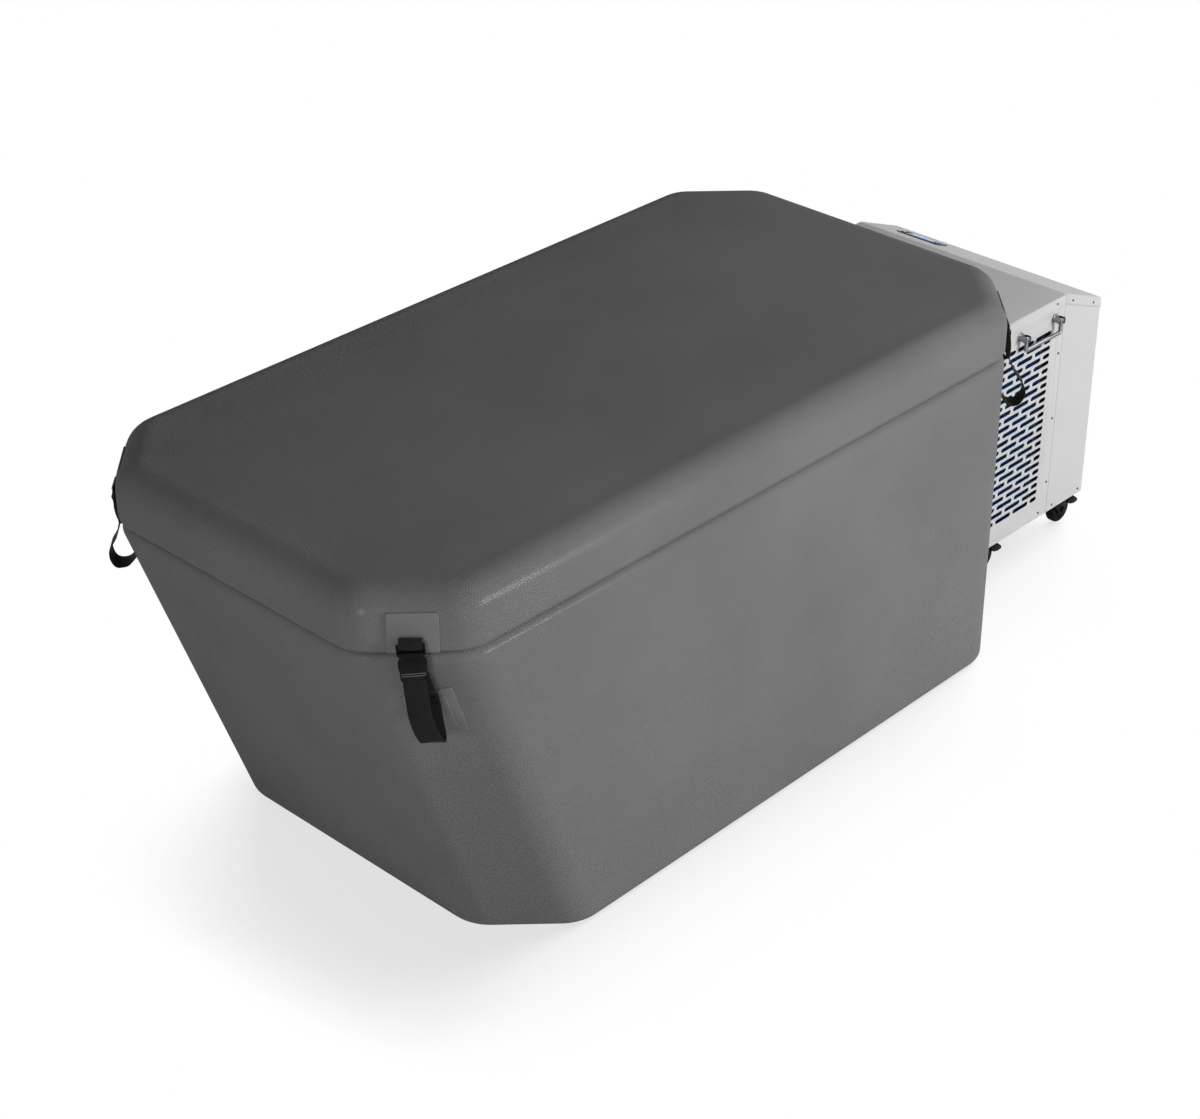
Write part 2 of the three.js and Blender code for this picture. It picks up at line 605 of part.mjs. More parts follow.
// Base pan: a shallow tray with a plate under it for each caster
function basePan() {
  const front = cabinetFront + SHEET + CLEARANCE;
  const rear = cabinetRear - SHEET - CLEARANCE;
  const tray = block(front, rear, -inside, inside, CABINET_BOTTOM, CABINET_BOTTOM + PAN_LIP);
  const hollow = block(front + SHEET, rear - SHEET, -inside + SHEET, inside - SHEET, panFloor,
    CABINET_BOTTOM + PAN_LIP + 1);
  const plates = casterSwivels.map(([, x, y]) => block(x - 25, x + 25, y - 35, y + 35,
    CABINET_BOTTOM - CASTER_PLATE, CABINET_BOTTOM + SHEET / 2));
  const holes = casterSwivels.map(([, x, y]) => bar('z', KINGPIN_RADIUS + 2 * CLEARANCE,
    CABINET_BOTTOM - CASTER_PLATE - 1, panFloor + 1, [x, y, 0], 20));
  return cut(join(cut(tray, hollow), ...plates), ...holes);
}

// Side panel with staggered oblong slots; every other row starts and ends in a half slot
function grillePanel(side) {
  const rear = ridge - CLEARANCE;
  const tip = SLOT_HEIGHT / 2;
  const slots = [];
  for (let row = 0; row < SLOT_ROWS; row += 1) {
    const z = CABINET_BOTTOM + GRILLE_FOOT + row * SLOT_ROW_PITCH;
    const shift = row % 2 === 0 ? -SLOT_PITCH / 2 : 0;
    for (let start = firstSlotStart + shift; start < lastSlotEnd; start += SLOT_PITCH) {
      const from = Math.max(start, firstSlotStart);
      const to = Math.min(start + SLOT_LENGTH, lastSlotEnd);
      if (to - from > SLOT_HEIGHT) {
        slots.push([[from, z], [from + tip, z - tip], [to - tip, z - tip], [to, z], [to - tip, z + tip],
          [from + tip, z + tip]]);
      }
    }
  }
  const top = CABINET_TOP - SHEET - CLEARANCE;
  const outline = [[cabinetFront, CABINET_BOTTOM], [rear, CABINET_BOTTOM], [rear, top], [cabinetFront, top]];
  const inner = side * (cabinetSide - SHEET);
  const outer = side * cabinetSide;
  const panel = plate(outline, Math.min(inner, outer), Math.max(inner, outer), slots);
  const holes = [-1, 1].map((way) => bar('y', POST_RADIUS + CLEARANCE, Math.min(inner, outer) - 1,
    Math.max(inner, outer) + 1, [handleMiddle + (way * HANDLE_SPAN) / 2, 0, handleHeight], 16));
  return cut(panel, ...holes);
}

const handleMiddle = ridge - HANDLE_SETBACK;
const handleHeight = CABINET_TOP - HANDLE_DROP;

// Panel that faces the tub, with holes for the two water ports
function tubSidePanel() {
  const body = block(cabinetFront, cabinetFront + SHEET, -inside, inside, CABINET_BOTTOM,
    CABINET_TOP - SHEET - CLEARANCE);
  const holes = [0, 1].map((i) => bar('x', FITTING_NOSE_RADIUS + CLEARANCE, cabinetFront - 1,
    cabinetFront + SHEET + 1, [0, PORT_SIDE, PORT_HEIGHT + i * PORT_SPACING], 20));
  return cut(body, ...holes);
}

// Rear wrap: the rear wall and both side returns, cut off under the cover's skirt
const facetSlope = FACET_DROP / RIDGE_SETBACK;
const skirtFoot = CABINET_TOP - SKIRT_DEPTH;
function rearPanel() {
  const front = ridge;
  const outer = block(front, cabinetRear, -cabinetSide, cabinetSide, CABINET_BOTTOM, CABINET_TOP);
  const inner = block(front - 1, cabinetRear - SHEET, -cabinetSide + SHEET, cabinetSide - SHEET,
    CABINET_BOTTOM - 1, CABINET_TOP + 1);
  const over = plate([[front - 1, skirtFoot + facetSlope - CLEARANCE],
    [cabinetRear + 1, skirtFoot - (RIDGE_SETBACK + 1) * facetSlope - CLEARANCE],
    [cabinetRear + 1, CABINET_TOP + 2], [front - 1, CABINET_TOP + 2]], -cabinetSide - 1, cabinetSide + 1);
  const inletHole = block(cabinetRear - SHEET - 1, cabinetRear + 1, INLET_SIDE - 22 - CLEARANCE,
    INLET_SIDE + 22 + CLEARANCE, INLET_HEIGHT - 13 - CLEARANCE, INLET_HEIGHT + 13 + CLEARANCE);
  return cut(outer, inner, over, inletHole);
}

// Top cover: flat roof, sloping facet, rear lip, and a skirt down each side below the facet
function topCover() {
  const foot = skirtFoot - FACET_DROP;
  const roofLine = [[cabinetFront, CABINET_TOP], [ridge, CABINET_TOP],
    [cabinetRear, CABINET_TOP - FACET_DROP],
    [cabinetRear, foot], [cabinetRear - SHEET, foot + SHEET * facetSlope],
    [cabinetRear - SHEET, CABINET_TOP - FACET_DROP - SHEET],
    [ridge, CABINET_TOP - SHEET], [cabinetFront, CABINET_TOP - SHEET]];
  const roof = plate(roofLine, -cabinetSide, cabinetSide);
  const skirt = [[ridge, CABINET_TOP - SHEET / 2], [ridge, skirtFoot], [cabinetRear, foot],
    [cabinetRear, CABINET_TOP - FACET_DROP - SHEET / 2]];
  const skirts = [plate(skirt, -cabinetSide, -cabinetSide + SHEET),
    plate(skirt, cabinetSide - SHEET, cabinetSide)];
  const middle = RIDGE_SETBACK / 2 / Math.cos(facetTilt);
  const halfWidth = PANEL_WIDTH / 2 - PANEL_RIM + CLEARANCE;
  const halfLength = PANEL_LENGTH / 2 - PANEL_RIM + CLEARANCE;
  const window = block(middle - halfWidth, middle + halfWidth, PANEL_SIDE - halfLength,
    PANEL_SIDE + halfLength, -SHEET * 3, SHEET * 2);
  window.rotateY(facetTilt).translate(ridge, 0, CABINET_TOP);
  return cut(join(roof, ...skirts), window);
}

piece('base_pan', basePan(), 'zinc', chiller);
piece('tub_side_panel', tubSidePanel(), 'cabinet', chiller);
piece('grille_panel_right', grillePanel(-1), 'cabinet', chiller);
piece('grille_panel_left', grillePanel(1), 'cabinet', chiller);
piece('rear_panel', rearPanel(), 'cabinet', chiller);
piece('top_cover', topCover(), 'cabinet', chiller);

// Control panel, in a group whose X runs down the facet and whose Z is the facet's normal
const facet = place(chiller, ridge, 0, CABINET_TOP);
facet.rotation.y = facetTilt;
const controls = place(facet, RIDGE_SETBACK / 2 / Math.cos(facetTilt), PANEL_SIDE, 0);
const buttonPlaces = {
  button_up: [-BUTTON_SPACING / 2, PANEL_LENGTH / 2 - BUTTON_INSET],
  button_down: [BUTTON_SPACING / 2, PANEL_LENGTH / 2 - BUTTON_INSET],
  button_power: [0, -PANEL_LENGTH / 2 + BUTTON_INSET],
};

function displayPanel() {
  const flange = block(-PANEL_WIDTH / 2, PANEL_WIDTH / 2, -PANEL_LENGTH / 2, PANEL_LENGTH / 2,
    CLEARANCE, PANEL_PROUD);
  const body = block(-PANEL_WIDTH / 2 + PANEL_RIM, PANEL_WIDTH / 2 - PANEL_RIM,
    -PANEL_LENGTH / 2 + PANEL_RIM, PANEL_LENGTH / 2 - PANEL_RIM, -PANEL_DEPTH, PANEL_PROUD / 2);
  const reach = BUTTON_SIZE / 2 + CLEARANCE;
  const holes = Object.values(buttonPlaces).map(([x, y]) => block(x - reach, x + reach, y - reach, y + reach,
    -PANEL_DEPTH - 1, PANEL_PROUD + 1));
  return cut(join(flange, body), ...holes);
}

piece('display_panel', displayPanel(), 'display', controls);
for (const [name, [x, y]] of Object.entries(buttonPlaces)) {
  const top = PANEL_PROUD + BUTTON_PROUD;
  const cap = block(-BUTTON_SIZE / 2, BUTTON_SIZE / 2, -BUTTON_SIZE / 2, BUTTON_SIZE / 2,
    top - BUTTON_HEIGHT, top);
  piece(name, cap, 'button', place(controls, x, y, 0));
}

// Handle mount: two posts on a strip behind the panel, each with a slot and a pin for the bail
function handleMount(side) {
  const skin = side * cabinetSide;
  const along = (near, far) => [Math.min(skin + side * near, skin + side * far),
    Math.max(skin + side * near, skin + side * far)];
  const [stripIn, stripOut] = along(-SHEET - CLEARANCE - HANDLE_STRIP, -SHEET - CLEARANCE);
  const strip = block(-HANDLE_SPAN / 2 - POST_RADIUS, HANDLE_SPAN / 2 + POST_RADIUS, stripIn, stripOut,
    -POST_RADIUS, POST_RADIUS);
  const posts = [-1, 1].map((way) => {
    const x = (way * HANDLE_SPAN) / 2;
    const post = bar('y', POST_RADIUS, ...along(-SHEET - CLEARANCE - 1, POST_REACH), [x, 0, 0], 16);
    const slot = block(x - BAIL_RADIUS - CLEARANCE, x + BAIL_RADIUS + CLEARANCE,
      ...along(POST_REACH - 2 * PIN_INSET, POST_REACH + 1), -POST_RADIUS - 1, POST_RADIUS + 1);
    const pin = bar('x', PIN_RADIUS, x - POST_RADIUS * 0.75, x + POST_RADIUS * 0.75,
      [0, skin + side * (POST_REACH - PIN_INSET), 0], 10);
    return join(cut(post, slot), pin);
  });
  return join(strip, ...posts);
}

// Bail: a bent rod that hangs from the pins
function handleBail() {
  const rods = [bar('x', BAIL_RADIUS, -HANDLE_SPAN / 2, HANDLE_SPAN / 2, [0, 0, -BAIL_DROP], 12)];
  const eyes = [-1, 1].map((way) => {
    const x = (way * HANDLE_SPAN) / 2;
    const eye = bar('x', PIN_RADIUS + 3.2, x - BAIL_RADIUS, x + BAIL_RADIUS, [0, 0, 0], 12);
    const arm = bar('z', BAIL_RADIUS, -BAIL_DROP, -PIN_RADIUS - 1, [x, 0, 0], 12);
    const elbow = new THREE.SphereGeometry(BAIL_RADIUS, 12, 8).translate(x, 0, -BAIL_DROP);
    const hole = bar('x', PIN_RADIUS + CLEARANCE, x - BAIL_RADIUS - 1, x + BAIL_RADIUS + 1, [0, 0, 0], 12);
    return cut(join(eye, arm, elbow), hole);
  });
  return join(...rods, ...eyes);
}

for (const [name, side] of [['right', -1], ['left', 1]]) {
  const mount = place(chiller, handleMiddle, 0, handleHeight);
  piece(`handle_mount_${name}`, handleMount(side), 'chrome', mount);
  const pivot = place(chiller, handleMiddle, side * (cabinetSide + POST_REACH - PIN_INSET), handleHeight);
  piece(`handle_bail_${name}`, handleBail(), 'chrome', pivot);
}

// Caster parts, in a group at the foot of the swivel axis, with the wheel trailing towards +X
const plateFoot = CABINET_BOTTOM - CASTER_PLATE;
const forkSide = WHEEL_WIDTH / 2 + FORK_GAP;
const pedalPivot = [WHEEL_TRAIL + 7, WHEEL_RADIUS * 2 + 9];

function casterFork() {
  const crown = WHEEL_RADIUS * 2 + 19;
  const swivel = bar('z', 24, crown, plateFoot - CLEARANCE, [0, 0, 0], 20);
  const kingpin = bar('z', KINGPIN_RADIUS, crown, panFloor + 4, [0, 0, 0], 16);
  const nut = bar('z', KINGPIN_RADIUS + 3, panFloor + CLEARANCE, panFloor + 5, [0, 0, 0], 6);
  const outer = forkSide + FORK_PLATE;
  const bridge = block(-20, WHEEL_TRAIL + 12, -outer, outer, crown, crown + 4);
  const cheek = [[-20, crown + 2], [-20, crown - 8], [WHEEL_TRAIL - 9, WHEEL_RADIUS - 6],
    [WHEEL_TRAIL + 9, WHEEL_RADIUS - 6], [WHEEL_TRAIL + 14, pedalPivot[1] - 6],
    [WHEEL_TRAIL + 14, crown + 2]];
  const cheeks = [plate(cheek, -outer, -forkSide), plate(cheek, forkSide, outer)];
  const axle = bar('y', AXLE_RADIUS, -forkSide - 1, forkSide + 1, [WHEEL_TRAIL, 0, WHEEL_RADIUS], 12);
  const pedalPin = bar('y', PIN_RADIUS, -forkSide - 1, forkSide + 1, [pedalPivot[0], 0, pedalPivot[1]], 10);
  return join(swivel, kingpin, nut, bridge, ...cheeks, axle, pedalPin);
}

function casterWheel() {
  const half = WHEEL_WIDTH / 2;
  const bore = AXLE_RADIUS + 0.5;
  const tyre = turned([[-half, bore], [-half, WHEEL_RADIUS - 5], [-half + 2, WHEEL_RADIUS - 1.2],
    [-half + 5, WHEEL_RADIUS], [half - 5, WHEEL_RADIUS], [half - 2, WHEEL_RADIUS - 1.2],
    [half, WHEEL_RADIUS - 5], [half, bore], [-half, bore]], 24);
  return tyre.rotateZ(Math.PI / 2);
}

// Brake pedal, down at rest; it swings up about its pin to free the wheel
function casterPedal() {
  const [px, pz] = pedalPivot;
  const start = WHEEL_TRAIL + 16;
  const top = [[start, pz - 5], [px + 20, pz - 11], [PEDAL_REACH - 3, PEDAL_TIP_HEIGHT + 9],
    [PEDAL_REACH, PEDAL_TIP_HEIGHT + 4], [PEDAL_REACH - 1, PEDAL_TIP_HEIGHT]];
  const tread = [...top, [px + 31, PEDAL_TIP_HEIGHT], [px + 26, pz - 26], [px + 17, pz - 17],
    [start, pz - 12]];
  const wing = [...top, [px + 34, PEDAL_TIP_HEIGHT - 1], [px + 20, PEDAL_TIP_HEIGHT + 3],
    [start, PEDAL_TIP_HEIGHT + 10]];
  const arm = [[px - 4, pz + 5], [px + 5, pz + 4], [start + 4, pz - 7], [start + 4, pz - 15],
    [px - 1, pz - 5.5], [px - 5, pz - 1]];
  const armHalf = forkSide - 2 * CLEARANCE;
  const half = PEDAL_WIDTH / 2;
  const hole = bar('y', PIN_RADIUS + CLEARANCE, -PEDAL_WIDTH, PEDAL_WIDTH, [px, 0, pz], 12);
  const body = join(plate(arm, -armHalf, armHalf), plate(tread, -half, half),
    plate(wing, -half, PEDAL_WING - half), plate(wing, half - PEDAL_WING, half));
  return cut(body, hole);
}

for (const [name, x, y] of casterSwivels) {
  const swivel = place(chiller, x, y, 0);
  piece(`caster_fork_${name}`, casterFork(), 'caster', swivel);
  piece(`caster_wheel_${name}`, casterWheel(), 'caster', place(swivel, WHEEL_TRAIL, 0, WHEEL_RADIUS));
  piece(`caster_pedal_${name}`, casterPedal(), 'caster', swivel);
}

// Condenser coil behind the right-hand grille, standing on the pan
const coilMiddle = (firstSlotStart + lastSlotEnd) / 2 - COIL_SHIFT;
const coilOuter = -cabinetSide + SHEET + COIL_GAP + HANDLE_STRIP;
const coilInner = coilOuter + COIL_DEPTH;
function condenserCoil() {
  const x0 = coilMiddle - COIL_LENGTH / 2;
  const x1 = coilMiddle + COIL_LENGTH / 2;
  const foot = panFloor + CLEARANCE;
  const core = block(x0 + SHEET, x1 - SHEET, coilOuter + 2, coilInner - 2, foot + 2, foot + COIL_HEIGHT - 2);
  const ends = [x0, x1 - SHEET * 1.5].map((x) => block(x, x + SHEET * 1.5, coilOuter, coilInner, foot,
    foot + COIL_HEIGHT));
  const bends = Array.from({ length: 6 }, (_, i) => bar('z', 4, foot + 40 + i * 65, foot + 70 + i * 65,
    [x1 + 2, (coilOuter + coilInner) / 2, 0], 8));
  return join(core, ...ends, ...bends);
}

// Shroud plate with the fan motor on three arms, and the fan that turns inside it
const shroudFace = coilInner + CLEARANCE;
const fanMiddle = shroudFace + SHEET + 3 + FAN_DEPTH / 2;
const motorFace = fanMiddle + FAN_DEPTH / 2 + 4;
function fanShroud() {
  const foot = panFloor + CLEARANCE;
  const wall = block(coilMiddle - COIL_LENGTH / 2, coilMiddle + COIL_LENGTH / 2, shroudFace,
    shroudFace + SHEET, foot, foot + COIL_HEIGHT);
  const mouth = bar('y', FAN_RADIUS + FAN_TIP_GAP, shroudFace - 1, shroudFace + SHEET + 1,
    [coilMiddle, 0, FAN_HEIGHT], 28);
  const motor = bar('y', MOTOR_RADIUS, motorFace, motorFace + MOTOR_LENGTH, [coilMiddle, 0, FAN_HEIGHT], 16);
  const shaft = bar('y', SHAFT_RADIUS, fanMiddle - FAN_DEPTH / 2, motorFace + 1,
    [coilMiddle, 0, FAN_HEIGHT], 12);
  const reach = FAN_RADIUS + FAN_TIP_GAP;
  const arms = [-1, 1].flatMap((way) => [
    block(-4, 4, shroudFace + SHEET / 2, motorFace + 14, Math.min(way * reach, way * (reach + 5)),
      Math.max(way * reach, way * (reach + 5))),
    block(-4, 4, motorFace + 8, motorFace + 14, Math.min(way * (MOTOR_RADIUS - 2), way * (reach + 5)),
      Math.max(way * (MOTOR_RADIUS - 2), way * (reach + 5)))]);
  for (const arm of arms) arm.translate(coilMiddle, 0, FAN_HEIGHT);
  return join(cut(wall, mouth), motor, shaft, ...arms);
}

function coolingFan() {
  const hub = bar('y', FAN_HUB, -FAN_DEPTH / 2, FAN_DEPTH / 2, [0, 0, 0], 20);
  const blades = Array.from({ length: FAN_BLADES }, (_, i) => block(FAN_HUB - 3, FAN_RADIUS, -1, 1, -17, 17)
    .rotateX(Math.PI / 7).rotateY((i * 2 * Math.PI) / FAN_BLADES));
  const bore = bar('y', SHAFT_RADIUS + 0.5, -FAN_DEPTH, FAN_DEPTH, [0, 0, 0], 16);
  return cut(join(hub, ...blades), bore);
}

piece('condenser_coil', condenserCoil(), 'fins', chiller);
piece('fan_shroud', fanShroud(), 'zinc', chiller);
piece('cooling_fan', coolingFan(), 'motor', place(chiller, coilMiddle, fanMiddle, FAN_HEIGHT));

// Compressor can on its foot plate, and the circulation pump on its saddle
function compressor() {
  const top = COMPRESSOR_HEIGHT;
  const shell = turned([[6, 0], [6, COMPRESSOR_RADIUS * 0.8], [20, COMPRESSOR_RADIUS],
    [top - 30, COMPRESSOR_RADIUS], [top - 8, COMPRESSOR_RADIUS * 0.7], [top, 0]], 20).rotateY(-Math.PI / 2);
  const foot = block(-COMPRESSOR_RADIUS, COMPRESSOR_RADIUS, -COMPRESSOR_RADIUS, COMPRESSOR_RADIUS, 0, 7);
  return join(shell, foot);
}

function waterPump() {
  const body = turned([[-PUMP_LENGTH / 2, 0], [-PUMP_LENGTH / 2, PUMP_RADIUS * 0.6],
    [-PUMP_LENGTH / 4, PUMP_RADIUS], [PUMP_LENGTH / 2 - 8, PUMP_RADIUS], [PUMP_LENGTH / 2, PUMP_RADIUS * 0.8],
    [PUMP_LENGTH / 2, 0]], 16).translate(0, 0, PUMP_HEIGHT);
  const saddle = block(-PUMP_LENGTH / 3, PUMP_LENGTH / 3, -PUMP_RADIUS, PUMP_RADIUS, 0, PUMP_HEIGHT / 2);
  const outlet = bar('z', 11, PUMP_HEIGHT, PUMP_HEIGHT + PUMP_RADIUS + 24, [-PUMP_LENGTH / 4, 0, 0], 12);
  return join(body, saddle, outlet);
}

piece('compressor', compressor(), 'motor',
  place(chiller, cabinetRear - COMPRESSOR_SETBACK, COMPRESSOR_SIDE, panFloor + CLEARANCE));
piece('water_pump', waterPump(), 'motor',
  place(chiller, cabinetFront + PUMP_GAP + PUMP_LENGTH / 2, PUMP_SIDE, panFloor + CLEARANCE));

// Block behind the tub-side panel that carries both water ports
function portBlock() {
  const back = SHEET + CLEARANCE;
  const body = block(back, back + 24, -24, 24, -24, PORT_SPACING + 24);
  const ports = [0, 1].map((i) => bar('x', FITTING_NOSE_RADIUS, -FITTING_NOSE, back + 1,
    [0, 0, i * PORT_SPACING], 20));
  const collars = [0, 1].map((i) => bar('x', FITTING_NOSE_RADIUS + 4, -5, -CLEARANCE,
    [0, 0, i * PORT_SPACING], 20));
  return join(body, ...ports, ...collars);
}

// Mains inlet in the rear wall: a flanged socket with three blades
function powerInlet() {
  const flange = block(CLEARANCE, 2.5, -25, 25, -16, 16);
  const body = block(-22, 1, -22, 22, -13, 13);
  const socket = block(-14, 4, -14, 14, -9, 9);
  const blades = [[-7, 1], [7, 1], [0, -4]].map(([y, z]) => block(-15, -3, y - 1, y + 1, z - 2, z + 2));
  return join(cut(join(flange, body), socket), ...blades);
}

piece('port_block', portBlock(), 'fitting', place(chiller, cabinetFront, PORT_SIDE, PORT_HEIGHT));
piece('power_inlet', powerInlet(), 'fitting', place(chiller, cabinetRear, INLET_SIDE, INLET_HEIGHT));

// Centre the whole over the origin, between the head end and the rear pedals
assembly.position.x = (tubEnd - rearReach) / 2;

export default assembly;
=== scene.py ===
# Cold plunge tub: inflated skin with a strapped-down lid, and the water chiller beside it.
# Metres; a list inside mm() is in millimetres. Shapes are made with x from the middle of the lid, and y and z
# as in the part; addPiece moves them to the part's own x.
import math
import bmesh
import bpy
import numpy as np
from mathutils import Matrix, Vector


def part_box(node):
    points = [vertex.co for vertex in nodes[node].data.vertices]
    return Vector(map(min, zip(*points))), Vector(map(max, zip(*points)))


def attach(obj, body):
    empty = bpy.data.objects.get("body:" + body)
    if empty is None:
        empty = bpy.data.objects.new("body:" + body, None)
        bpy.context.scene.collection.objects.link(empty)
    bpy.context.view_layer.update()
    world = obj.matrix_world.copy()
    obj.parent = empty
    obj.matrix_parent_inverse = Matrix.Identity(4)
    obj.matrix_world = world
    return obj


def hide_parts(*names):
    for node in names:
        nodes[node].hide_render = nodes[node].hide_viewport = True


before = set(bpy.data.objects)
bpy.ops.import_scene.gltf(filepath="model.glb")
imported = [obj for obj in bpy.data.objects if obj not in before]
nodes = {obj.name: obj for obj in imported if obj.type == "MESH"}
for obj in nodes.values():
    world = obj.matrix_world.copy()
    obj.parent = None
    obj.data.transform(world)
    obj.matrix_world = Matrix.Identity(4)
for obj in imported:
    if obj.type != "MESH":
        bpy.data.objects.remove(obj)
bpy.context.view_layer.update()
lidLow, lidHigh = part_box("lid")
tubX = (lidLow.x + lidHigh.x) / 2
print("frame loaded:", len(nodes), "nodes")

# camera
camera = {"place": (-3.0625, -2.9652, 2.939), "lens": 78.207, "pitch": 0.5418, "yaw": 0.7634, "roll": -0.0053,
          "sensor": 36, "near": 0.1, "far": 60}


def unit(v):
    # the same directions, each divided by its length
    return v / np.linalg.norm(v, axis=-1, keepdims=True)


def linked(name, data):
    # a new object of the scene with this data
    item = bpy.data.objects.new(name, data)
    bpy.context.collection.objects.link(item)
    return item


def aimed(item, place, ahead, roll=0.0):
    # looks along ahead with its right side level, then rolls about that line
    ahead = unit(np.array(ahead, float))
    right = unit(np.cross(ahead, [0, 0, 1]))
    up = np.cross(right, ahead)
    c, s = math.cos(roll), math.sin(roll)
    turn = np.eye(4)
    turn[:3, :3] = np.stack([c * right + s * up, c * up - s * right, -ahead], 1)
    turn[:3, 3] = place
    item.matrix_world = Matrix(turn.tolist())
    return item


def makeCamera():
    # yaw turns from +X towards +Y, pitch looks down
    p, q = camera["pitch"], camera["yaw"]
    data = bpy.data.cameras.new("camera")
    data.lens, data.sensor_width = camera["lens"], camera["sensor"]
    data.clip_start, data.clip_end = camera["near"], camera["far"]
    ahead = (math.cos(p) * math.cos(q), math.cos(p) * math.sin(q), -math.sin(p))
    place = np.array(camera["place"]) + [tubX, 0, 0]
    bpy.context.scene.camera = aimed(linked("camera", data), place, ahead, camera["roll"])


makeCamera()


# shapes: each is (points, faces, uv), uv in metres for every face corner
def mm(*rows):
    # rows of millimetres, as metres
    return np.array(rows) / 1000


def grid(points, wrapRows=False, uv=None):
    # quads between neighbouring rows and columns, with a flat face at each end unless the rows wrap; uv runs
    # with the lengths along rows and columns, and lies on the two widest directions of an end
    rows, columns = points.shape[:2]
    r = np.arange(rows if wrapRows else rows - 1)[:, None]
    c = np.arange(columns)[None, :]
    r2, c2 = (r + 1) % rows, (c + 1) % columns
    quads = np.stack(np.broadcast_arrays(r * columns + c, r * columns + c2, r2 * columns + c2,
                                         r2 * columns + c), -1)
    if uv is None:
        alongRows = np.linalg.norm(np.diff(np.concatenate([points, points[:1]]), axis=0), axis=2).mean(1)
        alongColumns = np.linalg.norm(np.diff(np.concatenate([points, points[:, :1]], 1), axis=1),
                                      axis=2).mean(0)
        u, v = (np.concatenate([[0], np.cumsum(steps)]) for steps in (alongRows, alongColumns))
        r, c = np.broadcast_arrays(r, c)
        uv = np.stack([np.stack([u[r + i], v[c + j]], -1) for i, j in ((0, 0), (0, 1), (1, 1), (1, 0))], 2)
    flat, faces, uv = points.reshape(-1, 3), quads.reshape(-1, 4).tolist(), uv.reshape(-1, 2)
    if not wrapRows:
        for end in (np.arange(columns)[::-1], (rows - 1) * columns + np.arange(columns)):
            faces.append(end.tolist())
            widest = np.sort(np.argsort(np.ptp(flat[end], axis=0))[1:])
            uv = np.concatenate([uv, flat[end][:, widest]])
    return flat, faces, uv


def joined(*shapes):
    # one shape of several: each one's faces count on from the points before it
    starts = np.cumsum([0] + [len(s[0]) for s in shapes]).tolist()
    faces = [[i + start for i in face] for start, s in zip(starts, shapes) for face in s[1]]
    return np.concatenate([s[0] for s in shapes]), faces, np.concatenate([s[2] for s in shapes])


def placed(shape, origin=(0, 0, 0), axes=((1, 0, 0), (0, 1, 0), (0, 0, 1))):
    # axes are the directions that the shape's own x, y and z take
    return shape[0] @ np.asarray(axes, float) + np.asarray(origin, float), *shape[1:]


def upright(shape):
    # what was drawn in x and y stands up in x and z, with its thickness along y
    return placed(shape, axes=((1, 0, 0), (0, 0, 1), (0, 1, 0)))


def ringed(shape, count, radius=0.0):
    # copies of a shape turned about z, each moved out by radius
    turns = [(math.cos(a), math.sin(a)) for a in np.arange(count) / count * 2 * math.pi]
    return [placed(shape, (radius * c, radius * s, 0), [(c, s, 0), (-s, c, 0), (0, 0, 1)]) for c, s in turns]


def circle(radius, count=24):
    # points at even angles, as cosine and sine times the radius
    angle = np.arange(count) / count * 2 * math.pi
    return radius * np.stack([np.cos(angle), np.sin(angle)], -1)


def roundedRect(width, height, radius, steps=3):
    # four quarter circles round the corners of a rectangle
    turn = np.linspace(0, math.pi / 2, steps + 1)
    parts = []
    for k, (sx, sy) in enumerate([(1, 1), (-1, 1), (-1, -1), (1, -1)]):
        a = turn + k * math.pi / 2
        parts.append(np.stack([np.cos(a) * radius + sx * (width / 2 - radius),
                               np.sin(a) * radius + sy * (height / 2 - radius)], -1))
    return np.concatenate(parts)


def sweep(path, across, section):
    # section's first number runs along across, its second along the normal of path and across
    path = np.asarray(path, float)
    across = np.broadcast_to(np.asarray(across, float), path.shape)
    normal = unit(np.cross(unit(np.gradient(path, axis=0)), across))
    section = np.broadcast_to(section, (len(path),) + np.shape(section)[-2:])
    return grid(path[:, None] + section[..., :1] * across[:, None] + section[..., 1:] * normal[:, None])


def rod(middle, reach, across, section):
    # straight bar from middle - reach to middle + reach
    middle, reach = np.array(middle, float), np.array(reach, float)
    return sweep([middle - reach, middle, middle + reach], across, section)


def resampled(path, spacing, ends=()):
    # points at even lengths along a path, with extra ones at the given distances from each end
    path = np.asarray(path, float)
    length = np.concatenate([[0], np.cumsum(np.linalg.norm(np.diff(path, axis=0), axis=1))])
    total = length[-1]
    marks = np.linspace(0, total, max(3, int(round(total / spacing)) + 1))
    if len(ends):
        clear = max(ends) * 1.3
        marks = marks[(marks > clear) & (marks < total - clear)]
        marks = np.concatenate([ends, marks, total - np.array(ends)[::-1]])
    return np.stack([np.interp(marks, length, path[:, k]) for k in range(path.shape[1])], 1)


def band(path, width, thickness, spacing=0.004):
    # flat strip with its width along x and rounded edges, thinning over its last millimetre at both ends; the
    # width is x less its part along the path, so that it stays square to a path that leans sideways
    path = resampled(path, spacing, np.array([0, 0.3, 1.0]) * thickness / 2)
    thick, wide = np.full(len(path), thickness), np.full(len(path), width)
    for k, part in enumerate((0.35, 0.8)):
        for row in (k, -1 - k):
            thick[row] *= part
            wide[row] -= thickness * (1 - part)
    sections = np.stack([roundedRect(w, t, t * 0.48) for w, t in zip(wide, thick)])
    tangent = unit(np.gradient(path, axis=0))
    return sweep(path, unit([1, 0, 0] - tangent * tangent[:, :1]), sections)


